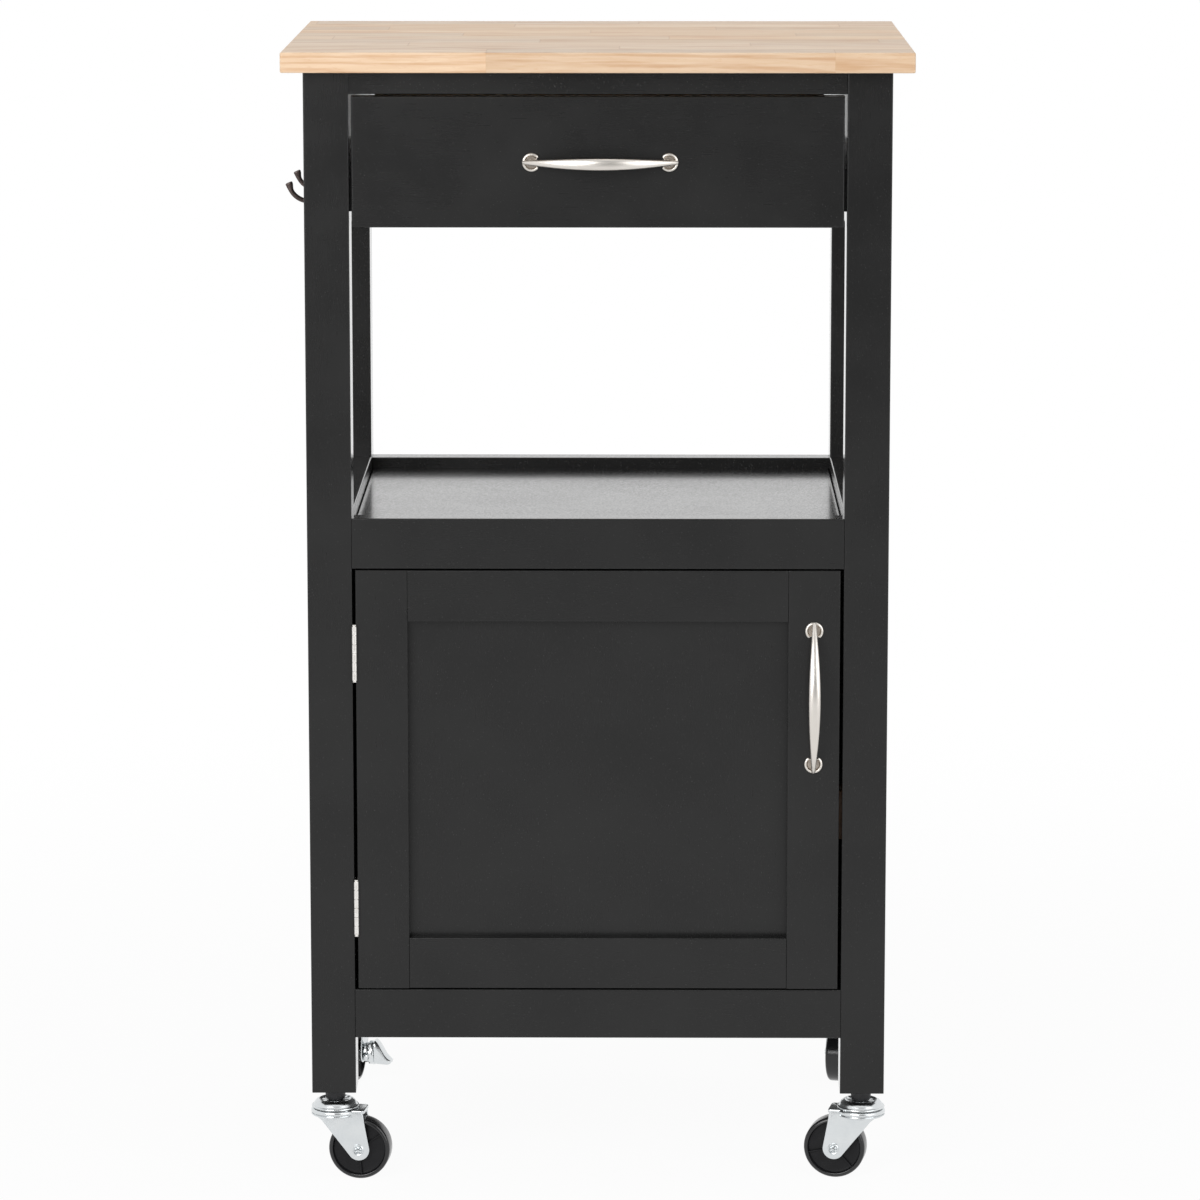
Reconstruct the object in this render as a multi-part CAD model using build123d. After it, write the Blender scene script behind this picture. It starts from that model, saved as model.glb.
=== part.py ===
from build123d import *
from math import acos, asin, atan2, cos, degrees, hypot, radians, sin
import os

# A kitchen serving cart on casters, in millimetres: X to the right, Y to the back, Z up.
# The origin is on the floor, under the middle of the worktop.

# Worktop, and how far it stands out past the legs
worktop_height = 914.0
top_width = 495.0
top_depth = 390.0
top_thickness = 16.0
side_overhang = 16.5
front_overhang = 19.0
rear_overhang = 15.0
top_edge_radius = 1.2

# Legs
leg_size = 35.5
leg_foot_height = 74.0
edge_radius = 1.0

# Rails between the left and right legs
rail_thickness = 20.0
front_top_rail_height = 18.0
front_top_rail_setback = 1.5
rear_top_rail_height = 40.0
mid_rail_top = 544.0
mid_rail_height = 40.5
bottom_rail_base = 120.0
bottom_rail_height = 40.0
tenon_length = 15.0
tenon_thickness = 8.0
tenon_shoulder = 5.0

# Boards between the front and rear legs
side_thickness = 18.0
side_panel_top = 547.0
apron_height = 122.0
tongue_depth = 8.0
tongue_thickness = 6.0

# Shelf, cupboard floor, back panel and the cleats that carry them
shelf_drop = 9.0
shelf_side_gap = 0.5
board_thickness = 12.0
cleat_width = 12.0
cleat_height = 15.0
cleat_end_gap = 6.0
back_panel_thickness = 5.0
back_panel_lap = 30.0

# Clearances
joint_gap = 0.1
board_gap = 0.3
running_gap = 0.35
pin_gap = 0.05
screw_gap = 0.1

# Drawer
drawer_side_clearance = 2.0
drawer_top_clearance = 1.5
drawer_front_height = 103.0
drawer_front_thickness = 18.0
drawer_side_thickness = 12.0
drawer_side_height = 84.5
drawer_side_lift = 8.0
drawer_rear_clearance = 2.5
drawer_back_inset = 8.0
drawer_back_drop = 10.0
drawer_bottom_thickness = 5.0
drawer_bottom_lift = 9.0
drawer_housing = 6.0
drawer_groove = 4.0

# Slides: a rail on the apron and a runner on the drawer side
slide_width = 12.7
slide_height = 34.0
slide_thickness = 1.2
slide_lift = 28.0
slide_flange_clearance = 2.0
slide_screw_inset = 40.0

# Door
door_side_clearance = 2.5
door_top_clearance = 1.2
door_bottom_clearance = 1.0
door_thickness = 18.0
door_frame_width = 41.5
door_panel_thickness = 6.0
door_panel_recess = 10.0
door_groove = 8.0

# Butt hinges on the left edge of the door
hinge_length = 44.0
hinge_from_door_end = 66.7
hinge_thickness = 0.9
hinge_leaf_depth = 15.0
hinge_barrel_diameter = 4.2
hinge_pin_diameter = 2.4
hinge_pin_head_diameter = 3.4
hinge_knuckles = 6
hinge_axis_from_leg = 1.6
hinge_axis_proud = 2.0
hinge_notch_clearance = 0.5

# Arched handles
handle_centres = 108.0
handle_height = 21.6
handle_end_height = 1.5
handle_overrun = 7.0
handle_belly_width = 9.4
handle_belly_thickness = 5.6
handle_neck_width = 4.4
handle_neck_thickness = 3.8
rosette_diameter = 15.0
rosette_thickness = 2.6
rosette_dish_depth = 1.0
rosette_rim_width = 1.6
handle_boss_diameter = 6.6
drawer_handle_shift = 1.9
door_handle_drop = 102.4

# Hooks on the left apron, their heights measured from its lower edge
hook_spacing = 104.0
hook_plate_width = 13.0
hook_plate_height = 32.0
hook_plate_thickness = 2.4
hook_plate_lift = 6.5
hook_arm_width = 7.0
hook_arm_thickness = 3.0
hook_root_lift = 15.0
hook_bend_lift = 8.4
hook_bend_distance = 22.9
hook_bend_radius = 15.0
hook_bend_angle = 68.0
hook_tip_length = 6.0
hook_tip_thickness = 5.0

# Magnetic catch at the latch side of the door
catch_length = 40.0
catch_width = 13.0
catch_depth = 30.0
catch_height = 300.0
catch_clearance = 0.4
catch_screw_spacing = 20.0
catch_screw_sink = 3.0
strike_length = 34.0
strike_width = 12.0
strike_thickness = 1.2
strike_inset = 1.5

# Screws
pan_head_height = 2.0
pan_head_round = 0.6
wood_screw_diameter = 3.5
wood_screw_head_diameter = 7.0
short_screw_length = 12.0
long_screw_length = 25.0
panel_screw_length = 15.0
panel_screw_spacing = 130.0
cleat_screw_spacing = 240.0
top_screw_diameter = 4.0
top_screw_head_diameter = 8.0
top_screw_length = 25.0
top_screw_spacing = 240.0
top_screw_seat = 15.0
leaf_screw_diameter = 2.6
leaf_screw_head_diameter = 5.4
leaf_screw_length = 12.0
leaf_screw_spacing = 26.0
hook_screw_spacing = 9.0
hook_screw_from_top = 4.5
handle_screw_diameter = 4.0
handle_screw_head_diameter = 8.0
handle_screw_bite = 5.0

# Casters, measured from the middle of the stem
wheel_diameter = 50.0
wheel_width = 17.0
wheel_edge_radius = 3.0
wheel_rim_width = 3.6
wheel_web_recess = 2.2
wheel_hub_diameter = 16.0
wheel_ribs = 3
wheel_rib_width = 1.3
wheel_rib_height = 1.2
trail_length = 20.5
axle_diameter = 6.0
axle_head_diameter = 10.2
axle_head_height = 1.8
crimp_slots = 6
crimp_slot_width = 0.9
crimp_slot_depth = 0.6
fork_thickness = 2.0
fork_wheel_clearance = 1.0
fork_end_radius = 9.3
fork_plate_diameter = 38.4
fork_plate_base = 56.0
fork_plate_thickness = 3.0
fork_tab_length = 24.0
fork_arm_front = 16.0
fork_arm_back = 22.5
fork_waist_front = 3.0
fork_waist_height = 38.8
fork_waist_hollow = 1.6
cap_rim_diameter = 37.6
cap_rim_height = 1.7
cap_crown_diameter = 26.0
cap_height = 5.65
cap_crown_bevel = 0.8
stem_diameter = 10.0
stem_in_leg = 34.0
stem_chamfer = 1.0
socket_diameter = 14.0
socket_in_leg = 38.0
collar_top_diameter = 16.7
collar_base_diameter = 13.0
kingpin_diameter = 8.0
kingpin_head_diameter = 12.0
kingpin_head_height = 3.0

# Where each caster's wheel trails to, in degrees from +X, and where its first rib stands
front_left_heading = -7.0
front_right_heading = 169.0
rear_left_heading = -100.0
rear_right_heading = -104.0
front_left_rib_angle = -85.0
front_right_rib_angle = -13.0
rear_left_rib_angle = 30.0
rear_right_rib_angle = 75.0

# Brake levers on the rear casters
brake_hub_diameter = 17.0
brake_hub_length = 6.0
brake_plate_diameter = 19.6
brake_plate_thickness = 4.3
brake_pedal_length = 14.6
brake_pedal_width = 15.0
brake_pedal_offset = 3.0
brake_pedal_top = 38.0
brake_pedal_base = 17.6
brake_pedal_end_top = 22.0
brake_pedal_thickness = 1.8
brake_pedal_hollow = 1.5
brake_pedal_hollow_reach = 6.2
brake_bore_end_gap = 0.5

# Places worked out from the sizes
leg_top = worktop_height - top_thickness
half_frame = top_width / 2 - side_overhang
inner_x = half_frame - leg_size
front_y = front_overhang - top_depth / 2
rear_y = top_depth / 2 - rear_overhang
front_legs_back_y = front_y + leg_size
rear_legs_front_y = rear_y - leg_size
front_rail_back_y = front_y + rail_thickness
rear_rail_front_y = rear_y - rail_thickness
apron_base = leg_top - apron_height
side_outer_x = inner_x + side_thickness
leg_middle_x = half_frame - leg_size / 2
mid_rail_base = mid_rail_top - mid_rail_height
bottom_rail_top = bottom_rail_base + bottom_rail_height
front_top_rail_base = leg_top - front_top_rail_height
shelf_top = mid_rail_top - shelf_drop
shelf_base = shelf_top - board_thickness
floor_base = bottom_rail_top - board_thickness
back_panel_y = rear_rail_front_y - back_panel_thickness
cleat_y = (front_rail_back_y + cleat_end_gap, back_panel_y - cleat_end_gap)

drawer_half = inner_x - drawer_side_clearance
drawer_top = front_top_rail_base - drawer_top_clearance
drawer_base = drawer_top - drawer_front_height
drawer_front_back_y = front_y + drawer_front_thickness
drawer_outer_x = inner_x - slide_width
drawer_inner_x = drawer_outer_x - drawer_side_thickness
drawer_rear_y = rear_legs_front_y - drawer_rear_clearance
drawer_side_base = drawer_base + drawer_side_lift
drawer_side_top = drawer_side_base + drawer_side_height
drawer_back_y = drawer_rear_y - drawer_back_inset - drawer_side_thickness
drawer_bottom_base = drawer_side_base + drawer_bottom_lift
slide_z = drawer_base + slide_lift
slide_y = (drawer_front_back_y + board_gap, drawer_rear_y + board_gap)

door_left_x = door_side_clearance - inner_x
door_right_x = inner_x - door_side_clearance
door_base = bottom_rail_top + door_bottom_clearance
door_top = mid_rail_base - door_top_clearance
door_back_y = front_y + door_thickness
door_opening_x = (door_left_x + door_frame_width, door_right_x - door_frame_width)
door_opening_z = (door_base + door_frame_width, door_top - door_frame_width)
door_panel_y = (front_y + door_panel_recess, front_y + door_panel_recess + door_panel_thickness)
hinge_x = hinge_axis_from_leg - inner_x
hinge_y = front_y - hinge_axis_proud
hinge_heights = (door_base + hinge_from_door_end, door_top - hinge_from_door_end)
door_handle_x = door_right_x - door_frame_width / 2
hook_plate_base = apron_base + hook_plate_lift
hook_bend_height = apron_base + hook_bend_lift

axle_z = wheel_diameter / 2
arm_inner_y = wheel_width / 2 + fork_wheel_clearance
arm_outer_y = arm_inner_y + fork_thickness
fork_plate_top = fork_plate_base + fork_plate_thickness
cap_base = fork_plate_top + running_gap
cap_top = cap_base + cap_height
brake_y = arm_outer_y + running_gap


def grown(span, gap):
    return span[0] - gap, span[1] + gap


def centred(middle, size):
    return middle - size / 2, middle + size / 2


def block(x, y, z):
    size = [span[1] - span[0] for span in (x, y, z)]
    middle = [(span[0] + span[1]) / 2 for span in (x, y, z)]
    return Pos(*middle) * Box(*size)


def housing(x, y, z):
    # The room that a board set into another needs, a joint gap larger all round
    return block(grown(x, joint_gap), grown(y, joint_gap), grown(z, joint_gap))


def rounded(shape, axis, radius=edge_radius):
    return fillet(shape.edges().filter_by(axis), radius)


def carved(shape, cutters):
    for cutter in cutters:
        shape = shape - cutter
    return shape


def left_copy(shape):
    return mirror(shape, about=Plane.YZ)


def spun(points):
    # A solid of revolution about Z from its half section: distance from the axis, height
    return revolve(Plane.XZ * make_face(Polyline(*points, close=True)), Axis.Z)


def rod(diameter, z):
    return Pos(0, 0, (z[0] + z[1]) / 2) * Cylinder(diameter / 2, z[1] - z[0])


# Turns that point a screw, drawn point up, the way it is driven
upward = Rot(0, 0, 0)
rightward = Rot(0, 90, 0)
leftward = Rot(0, -90, 0)
backward = Rot(-90, 0, 0)
forward = Rot(90, 0, 0)


def screw(shank, head, length, sunk=False, gap=0.0):
    # The surface that the head bears on, or is flush with, is at Z = 0
    core = shank / 2 + gap
    rim = head / 2 + gap
    end = length + gap
    if sunk:
        land = shank / 8
        section = [(0, -gap), (rim, -gap), (rim, land), (core, land + rim - core)]
    else:
        soft_rim = rim - pan_head_round
        section = [(0, -pan_head_height), (soft_rim, -pan_head_height)]
        section += [(rim, pan_head_round - pan_head_height), (rim, 0), (core, 0)]
    return spun(section + [(core, end - core), (0, end)])


def driven_screw(shank, head, length, sunk=False):
    # The screw itself, with a cross recess for the screwdriver
    face = 0 if sunk else -pan_head_height
    arm = (head * 0.55, head * 0.13, pan_head_height)
    recess = Box(*arm) + Box(arm[1], arm[0], arm[2])
    return screw(shank, head, length, sunk) - Pos(0, 0, face) * recess


def screw_set(places, *size, sunk=False):
    # Screws at the given places, and the holes that they are driven into
    screws = [place * driven_screw(*size, sunk=sunk) for place in places]
    holes = [place * screw(*size, sunk=sunk, gap=screw_gap) for place in places]
    return screws, holes


def both_sides(places):
    # Adds to screws driven to the right their mirror images, driven to the left
    return [Pos(x, y, z) * rightward for x, y, z in places] + [Pos(-x, y, z) * leftward for x, y, z in places]


# Screws that hold the worktop, from below through the rails
top_screw_y = (front_y + front_top_rail_setback + rail_thickness / 2, rear_y - rail_thickness / 2)
top_screw_z = leg_top - top_screw_seat
top_screw_places = [(x, y, top_screw_z) for x in centred(0, top_screw_spacing) for y in top_screw_y]
top_screws, top_holes = screw_set(
    [Pos(*place) * upward for place in top_screw_places],
    top_screw_diameter, top_screw_head_diameter, top_screw_length,
)
top_counterbore = rod(top_screw_head_diameter + 2 * board_gap, (-rear_top_rail_height, 0))
top_counterbores = [Pos(*place) * top_counterbore for place in top_screw_places]

# Screws through the cleats, the slide rails, the back panel and the hooks
cleat_heights = (shelf_base - cleat_height / 2, floor_base - cleat_height / 2)
cleat_screws, cleat_holes = screw_set(
    both_sides([
        (inner_x - cleat_width, y, z) for y in centred(0, cleat_screw_spacing) for z in cleat_heights
    ]),
    wood_screw_diameter, wood_screw_head_diameter, long_screw_length, sunk=True,
)
slide_screw_y = (slide_y[0] + slide_screw_inset, sum(slide_y) / 2, slide_y[1] - slide_screw_inset)
slide_screws, slide_holes = screw_set(
    both_sides([(inner_x - slide_thickness, y, slide_z) for y in slide_screw_y]),
    wood_screw_diameter, wood_screw_head_diameter, short_screw_length,
)
back_screws, back_holes = screw_set(
    [
        Pos(x, back_panel_y, z) * backward
        for x in (-panel_screw_spacing, 0, panel_screw_spacing)
        for z in ((mid_rail_base + shelf_base) / 2, bottom_rail_top - back_panel_lap * 2 / 3)
    ],
    wood_screw_diameter, wood_screw_head_diameter, panel_screw_length,
)
hook_screw_top = hook_plate_base + hook_plate_height - hook_screw_from_top
hook_screws, hook_holes = screw_set(
    [
        Pos(-side_outer_x - hook_plate_thickness, y, z) * rightward
        for y in centred(0, hook_spacing)
        for z in (hook_screw_top, hook_screw_top - hook_screw_spacing)
    ],
    wood_screw_diameter, wood_screw_head_diameter, short_screw_length, sunk=True,
)

# Screws of the hinges, the catch, the strike plate and the drawer runners
leaf_y = (hinge_y, front_y + hinge_leaf_depth)
leaf_screw_y = (front_y + leaf_y[1]) / 2
leaf_screw_z = [middle + offset for middle in hinge_heights for offset in centred(0, leaf_screw_spacing)]
leaf_screw_size = (leaf_screw_diameter, leaf_screw_head_diameter, leaf_screw_length)
frame_leaf_screws, frame_leaf_holes = screw_set(
    [Pos(hinge_thickness - inner_x, leaf_screw_y, z) * leftward for z in leaf_screw_z],
    *leaf_screw_size, sunk=True,
)
door_leaf_screws, door_leaf_holes = screw_set(
    [Pos(door_left_x - hinge_thickness, leaf_screw_y, z) * rightward for z in leaf_screw_z],
    *leaf_screw_size, sunk=True,
)
catch_x = (inner_x - catch_width, inner_x)
catch_front_y = door_back_y + strike_thickness + catch_clearance
catch_y = (catch_front_y, catch_front_y + catch_depth)
catch_seat_x = catch_x[0] + catch_screw_sink
catch_screw_places = [(catch_seat_x, y, catch_height) for y in centred(sum(catch_y) / 2, catch_screw_spacing)]
catch_screws, catch_holes = screw_set(
    [Pos(*place) * rightward for place in catch_screw_places],
    wood_screw_diameter, wood_screw_head_diameter, long_screw_length,
)
strike_x = (door_right_x - strike_inset - strike_width, door_right_x - strike_inset)
strike_screws, strike_holes = screw_set(
    [
        Pos(sum(strike_x) / 2, door_back_y + strike_thickness, z) * forward
        for z in centred(catch_height, strike_length / 2)
    ],
    *leaf_screw_size, sunk=True,
)
runner_screws, runner_holes = screw_set(
    [Pos(drawer_outer_x + slide_thickness, y, slide_z) * leftward for y in slide_screw_y]
    + [Pos(-drawer_outer_x - slide_thickness, y, slide_z) * rightward for y in slide_screw_y],
    wood_screw_diameter, wood_screw_head_diameter, short_screw_length - slide_thickness,
)


def rail(y, z):
    # A rail between the legs with a tenon on each end, and the mortises that the tenons need
    tenon_y = centred(sum(y) / 2, tenon_thickness)
    tenon_z = grown(z, -tenon_shoulder)
    reach = inner_x + tenon_length
    body = rounded(block((-inner_x, inner_x), y, z), Axis.X)
    tenons = block((-reach, reach), tenon_y, tenon_z)
    mortises = housing((-reach, reach), tenon_y, tenon_z)
    return body + tenons, mortises


def side_board(z):
    # A board between the right legs with a tongue on each end, and the grooves for the tongues
    x = (inner_x, side_outer_x)
    y = (front_legs_back_y, rear_legs_front_y)
    tongue_x = centred(sum(x) / 2, tongue_thickness)
    tongue_y = grown(y, tongue_depth)
    tongue_z = grown(z, -tenon_shoulder)
    board = rounded(block(x, y, z), Axis.Y) + block(tongue_x, tongue_y, tongue_z)
    grooves = housing(tongue_x, tongue_y, tongue_z)
    return board, grooves


front_rail_y = (front_y, front_rail_back_y)
rear_rail_y = (rear_rail_front_y, rear_y)
front_top_rail_y = (front_y + front_top_rail_setback, front_rail_back_y + front_top_rail_setback)
mid_rail_z = (mid_rail_base, mid_rail_top)
bottom_rail_z = (bottom_rail_base, bottom_rail_top)
front_top_rail, front_top_mortises = rail(front_top_rail_y, (front_top_rail_base, leg_top))
rear_top_rail, rear_top_mortises = rail(rear_rail_y, (leg_top - rear_top_rail_height, leg_top))
front_mid_rail, front_mid_mortises = rail(front_rail_y, mid_rail_z)
rear_mid_rail, rear_mid_mortises = rail(rear_rail_y, mid_rail_z)
front_bottom_rail, front_bottom_mortises = rail(front_rail_y, bottom_rail_z)
rear_bottom_rail, rear_bottom_mortises = rail(rear_rail_y, bottom_rail_z)
apron, apron_grooves = side_board((apron_base, leg_top))
side_panel, side_panel_grooves = side_board((bottom_rail_base, side_panel_top))

top_panel_z = (leg_top, worktop_height)
top_panel = block(centred(0, top_width), centred(0, top_depth), top_panel_z)
top_panel = carved(fillet(top_panel.edges(), top_edge_radius), top_holes)
front_top_rail = carved(front_top_rail, top_holes + top_counterbores)
rear_top_rail = carved(rear_top_rail, top_holes + top_counterbores)
rear_mid_rail = carved(rear_mid_rail, back_holes)
rear_bottom_rail = carved(rear_bottom_rail, back_holes)
right_apron = carved(apron, slide_holes)
left_apron = carved(left_copy(apron), slide_holes + hook_holes)
right_side_panel = carved(side_panel, cleat_holes + catch_holes)
left_side_panel = carved(left_copy(side_panel), cleat_holes)


def leg(side, y, mortises, holes):
    # A square leg with the joints of its rails and boards, and the bore for the caster's socket
    x = (inner_x, half_frame)
    body = rounded(block(x, y, (leg_foot_height, leg_top)), Axis.Z)
    bore_z = grown((leg_foot_height, leg_foot_height + socket_in_leg), joint_gap)
    bore = rod(socket_diameter + 2 * joint_gap, bore_z)
    body = body - Pos(leg_middle_x, sum(y) / 2, 0) * bore
    body = carved(body, mortises + [apron_grooves, side_panel_grooves])
    if side == "left":
        body = left_copy(body)
    return carved(body, holes)


front_leg_y = (front_y, front_legs_back_y)
rear_leg_y = (rear_legs_front_y, rear_y)
front_mortises = [front_top_mortises, front_mid_mortises, front_bottom_mortises]
rear_mortises = [rear_top_mortises, rear_mid_mortises, rear_bottom_mortises]
front_left_leg = leg("left", front_leg_y, front_mortises, frame_leaf_holes)
front_right_leg = leg("right", front_leg_y, front_mortises, catch_holes)
rear_left_leg = leg("left", rear_leg_y, rear_mortises, [])
rear_right_leg = leg("right", rear_leg_y, rear_mortises, [])

# Shelf, cupboard floor, back panel and cleats
shelf_y = (front_rail_back_y + board_gap, rear_rail_front_y - board_gap)
shelf_x = grown((-inner_x, inner_x), -shelf_side_gap)
shelf_board = rounded(block(shelf_x, shelf_y, (shelf_base, shelf_top)), Axis.Y)
floor_x = grown((-inner_x, inner_x), -board_gap)
floor_y = (front_rail_back_y, back_panel_y)
cabinet_floor = block(floor_x, floor_y, (floor_base, bottom_rail_top))
back_panel_z = (bottom_rail_top - back_panel_lap, shelf_base - joint_gap)
back_panel = carved(block(floor_x, (back_panel_y, rear_rail_front_y), back_panel_z), back_holes)
cleats = []
for base in (shelf_base - cleat_height, floor_base - cleat_height):
    cleat = block((inner_x - cleat_width, inner_x), cleat_y, (base, base + cleat_height))
    cleats += [carved(cleat, cleat_holes), carved(left_copy(cleat), cleat_holes)]


def slide_rail():
    # A channel open to the drawer, screwed to the apron
    x = (drawer_outer_x + slide_flange_clearance, inner_x)
    z = centred(slide_z, slide_height)
    hollow = block((x[0] - 1, x[1] - slide_thickness), grown(slide_y, 1), grown(z, -slide_thickness))
    return block(x, slide_y, z) - hollow


def slide_runner():
    # A channel open to the apron that runs inside the rail, screwed to the drawer side
    x = (drawer_outer_x, inner_x - slide_thickness - slide_flange_clearance)
    z = centred(slide_z, slide_height - 2 * slide_thickness - 2 * running_gap)
    hollow = block((x[0] + slide_thickness, x[1] + 1), grown(slide_y, 1), grown(z, -slide_thickness))
    return block(x, slide_y, z) - hollow


right_slide_rail = carved(slide_rail(), slide_holes)
left_slide_rail = carved(left_copy(slide_rail()), slide_holes)
right_slide_runner = carved(slide_runner(), runner_holes)
left_slide_runner = carved(left_copy(slide_runner()), runner_holes)

# Drawer box: the bottom sits in grooves, the sides and the back in housings
drawer_side_y = (drawer_front_back_y - drawer_housing, drawer_rear_y)
drawer_side_z = (drawer_side_base, drawer_side_top)
drawer_side_x = (drawer_inner_x, drawer_outer_x)
drawer_side = block(drawer_side_x, drawer_side_y, drawer_side_z)
drawer_side_housing = housing(drawer_side_x, drawer_side_y, drawer_side_z)
groove_x = grown((-drawer_inner_x, drawer_inner_x), drawer_groove)
groove_y = (drawer_front_back_y - drawer_groove, drawer_back_y + drawer_groove)
groove_z = (drawer_bottom_base, drawer_bottom_base + drawer_bottom_thickness)
drawer_bottom = block(groove_x, groove_y, groove_z)
drawer_bottom_groove = housing(groove_x, groove_y, groove_z)
drawer_back_span = (drawer_back_y, drawer_back_y + drawer_side_thickness)
drawer_back_z = (drawer_side_base, drawer_side_top - drawer_back_drop)
drawer_back = block(groove_x, drawer_back_span, drawer_back_z) - drawer_bottom_groove
drawer_back_housing = housing(groove_x, drawer_back_span, drawer_back_z)
drawer_side = carved(rounded(drawer_side, Axis.Y), [drawer_bottom_groove, drawer_back_housing])
drawer_right_side = carved(drawer_side, runner_holes)
drawer_left_side = carved(left_copy(drawer_side), runner_holes)
drawer_front = block((-drawer_half, drawer_half), (front_y, drawer_front_back_y), (drawer_base, drawer_top))
drawer_front = fillet(drawer_front.faces().sort_by(Axis.Y)[0].edges(), edge_radius)
drawer_front = carved(
    drawer_front, [drawer_side_housing, left_copy(drawer_side_housing), drawer_bottom_groove]
)

# Door: stiles and rails around a panel that sits in their grooves
stile_z = (door_base, door_top)
door_y = (front_y, door_back_y)
panel_x = grown(door_opening_x, door_groove - board_gap)
panel_z = grown(door_opening_z, door_groove - board_gap)
door_panel = block(panel_x, door_panel_y, panel_z)
door_panel_groove = housing(
    grown(panel_x, board_gap - joint_gap), door_panel_y, grown(panel_z, board_gap - joint_gap)
)


def door_rail(z):
    # A rail of the door, and the mortises in the stiles for its stub tenons
    tenon_x = grown(door_opening_x, door_groove - joint_gap)
    tenon_z = grown(z, -tenon_shoulder)
    body = rounded(block(door_opening_x, door_y, z), Axis.X) - door_panel_groove
    tenons = block(tenon_x, door_panel_y, tenon_z) - block(door_opening_x, door_panel_y, tenon_z)
    mortises = housing(tenon_x, door_panel_y, tenon_z)
    return carved(body + tenons, [door_panel_groove]), mortises


door_top_rail, top_rail_mortises = door_rail((door_opening_z[1], door_top))
door_bottom_rail, bottom_rail_mortises = door_rail((door_base, door_opening_z[0]))
stile_cuts = [door_panel_groove, top_rail_mortises, bottom_rail_mortises]
door_hinge_stile = rounded(block((door_left_x, door_opening_x[0]), door_y, stile_z), Axis.Z)
door_hinge_stile = carved(door_hinge_stile, stile_cuts + door_leaf_holes)
door_latch_stile = rounded(block((door_opening_x[1], door_right_x), door_y, stile_z), Axis.Z)
door_latch_stile = carved(door_latch_stile, stile_cuts + strike_holes)


def handle():
    # An arched bar on two dished rosettes, drawn along X and standing up from Z = 0
    half = handle_centres / 2 + handle_overrun
    rise = handle_height - handle_end_height
    radius = (half * half + rise * rise) / (2 * rise)
    end_angle = asin(half / radius)
    sections = []
    count = 8
    for step in range(count + 1):
        angle = end_angle * (2 * step / count - 1)
        fullness = cos(angle / end_angle * radians(90)) ** 1.5
        width = handle_neck_width + (handle_belly_width - handle_neck_width) * fullness
        thickness = handle_neck_thickness + (handle_belly_thickness - handle_neck_thickness) * fullness
        place = (radius * sin(angle), 0, handle_height - radius + radius * cos(angle))
        plane = Plane(origin=place, x_dir=(0, 1, 0), z_dir=(cos(angle), 0, -sin(angle)))
        sections.append(plane * Ellipse(width / 2, thickness / 2))
    bar = loft(sections)
    screw_angle = asin(handle_centres / 2 / radius)
    boss_top = handle_height - radius + radius * cos(screw_angle)
    rim = rosette_diameter / 2
    dish = rosette_thickness - rosette_dish_depth
    rosette = spun([
        (0, 0), (rim, 0), (rim, dish), (rim - rosette_rim_width / 2, rosette_thickness),
        (rim - rosette_rim_width, rosette_thickness), (rim - 2 * rosette_rim_width, dish), (0, dish),
    ])
    hole = rod(handle_screw_diameter + 2 * pin_gap, (-1, handle_screw_bite + pin_gap))
    for x in centred(0, handle_centres):
        bar = bar + Pos(x, 0, 0) * rosette + Pos(x, 0, 0) * rod(handle_boss_diameter, (0, boss_top))
    below = Box(2 * half + rosette_diameter, rosette_diameter, 2 * rosette_diameter)
    bar = bar - Pos(0, 0, -rosette_diameter) * below
    for x in centred(0, handle_centres):
        bar = bar - Pos(x, 0, 0) * hole
    return bar


def handle_screws(thickness, hole_gap=0.0):
    # The two screws of a handle, from behind the board that it stands on
    length = thickness + handle_screw_bite
    if hole_gap:
        one = rod(handle_screw_diameter + 2 * hole_gap, (-length, 0))
    else:
        one = Pos(0, 0, -thickness) * driven_screw(handle_screw_diameter, handle_screw_head_diameter, length)
    return [Pos(x, 0, 0) * one for x in centred(0, handle_centres)]


drawer_handle_place = Pos(drawer_handle_shift, front_y, (drawer_base + drawer_top) / 2) * forward
door_handle_place = Pos(door_handle_x, front_y, door_top - door_handle_drop) * forward * Rot(0, 0, 90)
drawer_handle = drawer_handle_place * handle()
door_handle = door_handle_place * handle()
drawer_handle_screws = [drawer_handle_place * one for one in handle_screws(drawer_front_thickness)]
door_handle_screws = [door_handle_place * one for one in handle_screws(door_thickness)]
drawer_front = carved(
    drawer_front, [drawer_handle_place * hole for hole in handle_screws(drawer_front_thickness, board_gap)]
)
door_latch_stile = carved(
    door_latch_stile, [door_handle_place * hole for hole in handle_screws(door_thickness, board_gap)]
)


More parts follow.
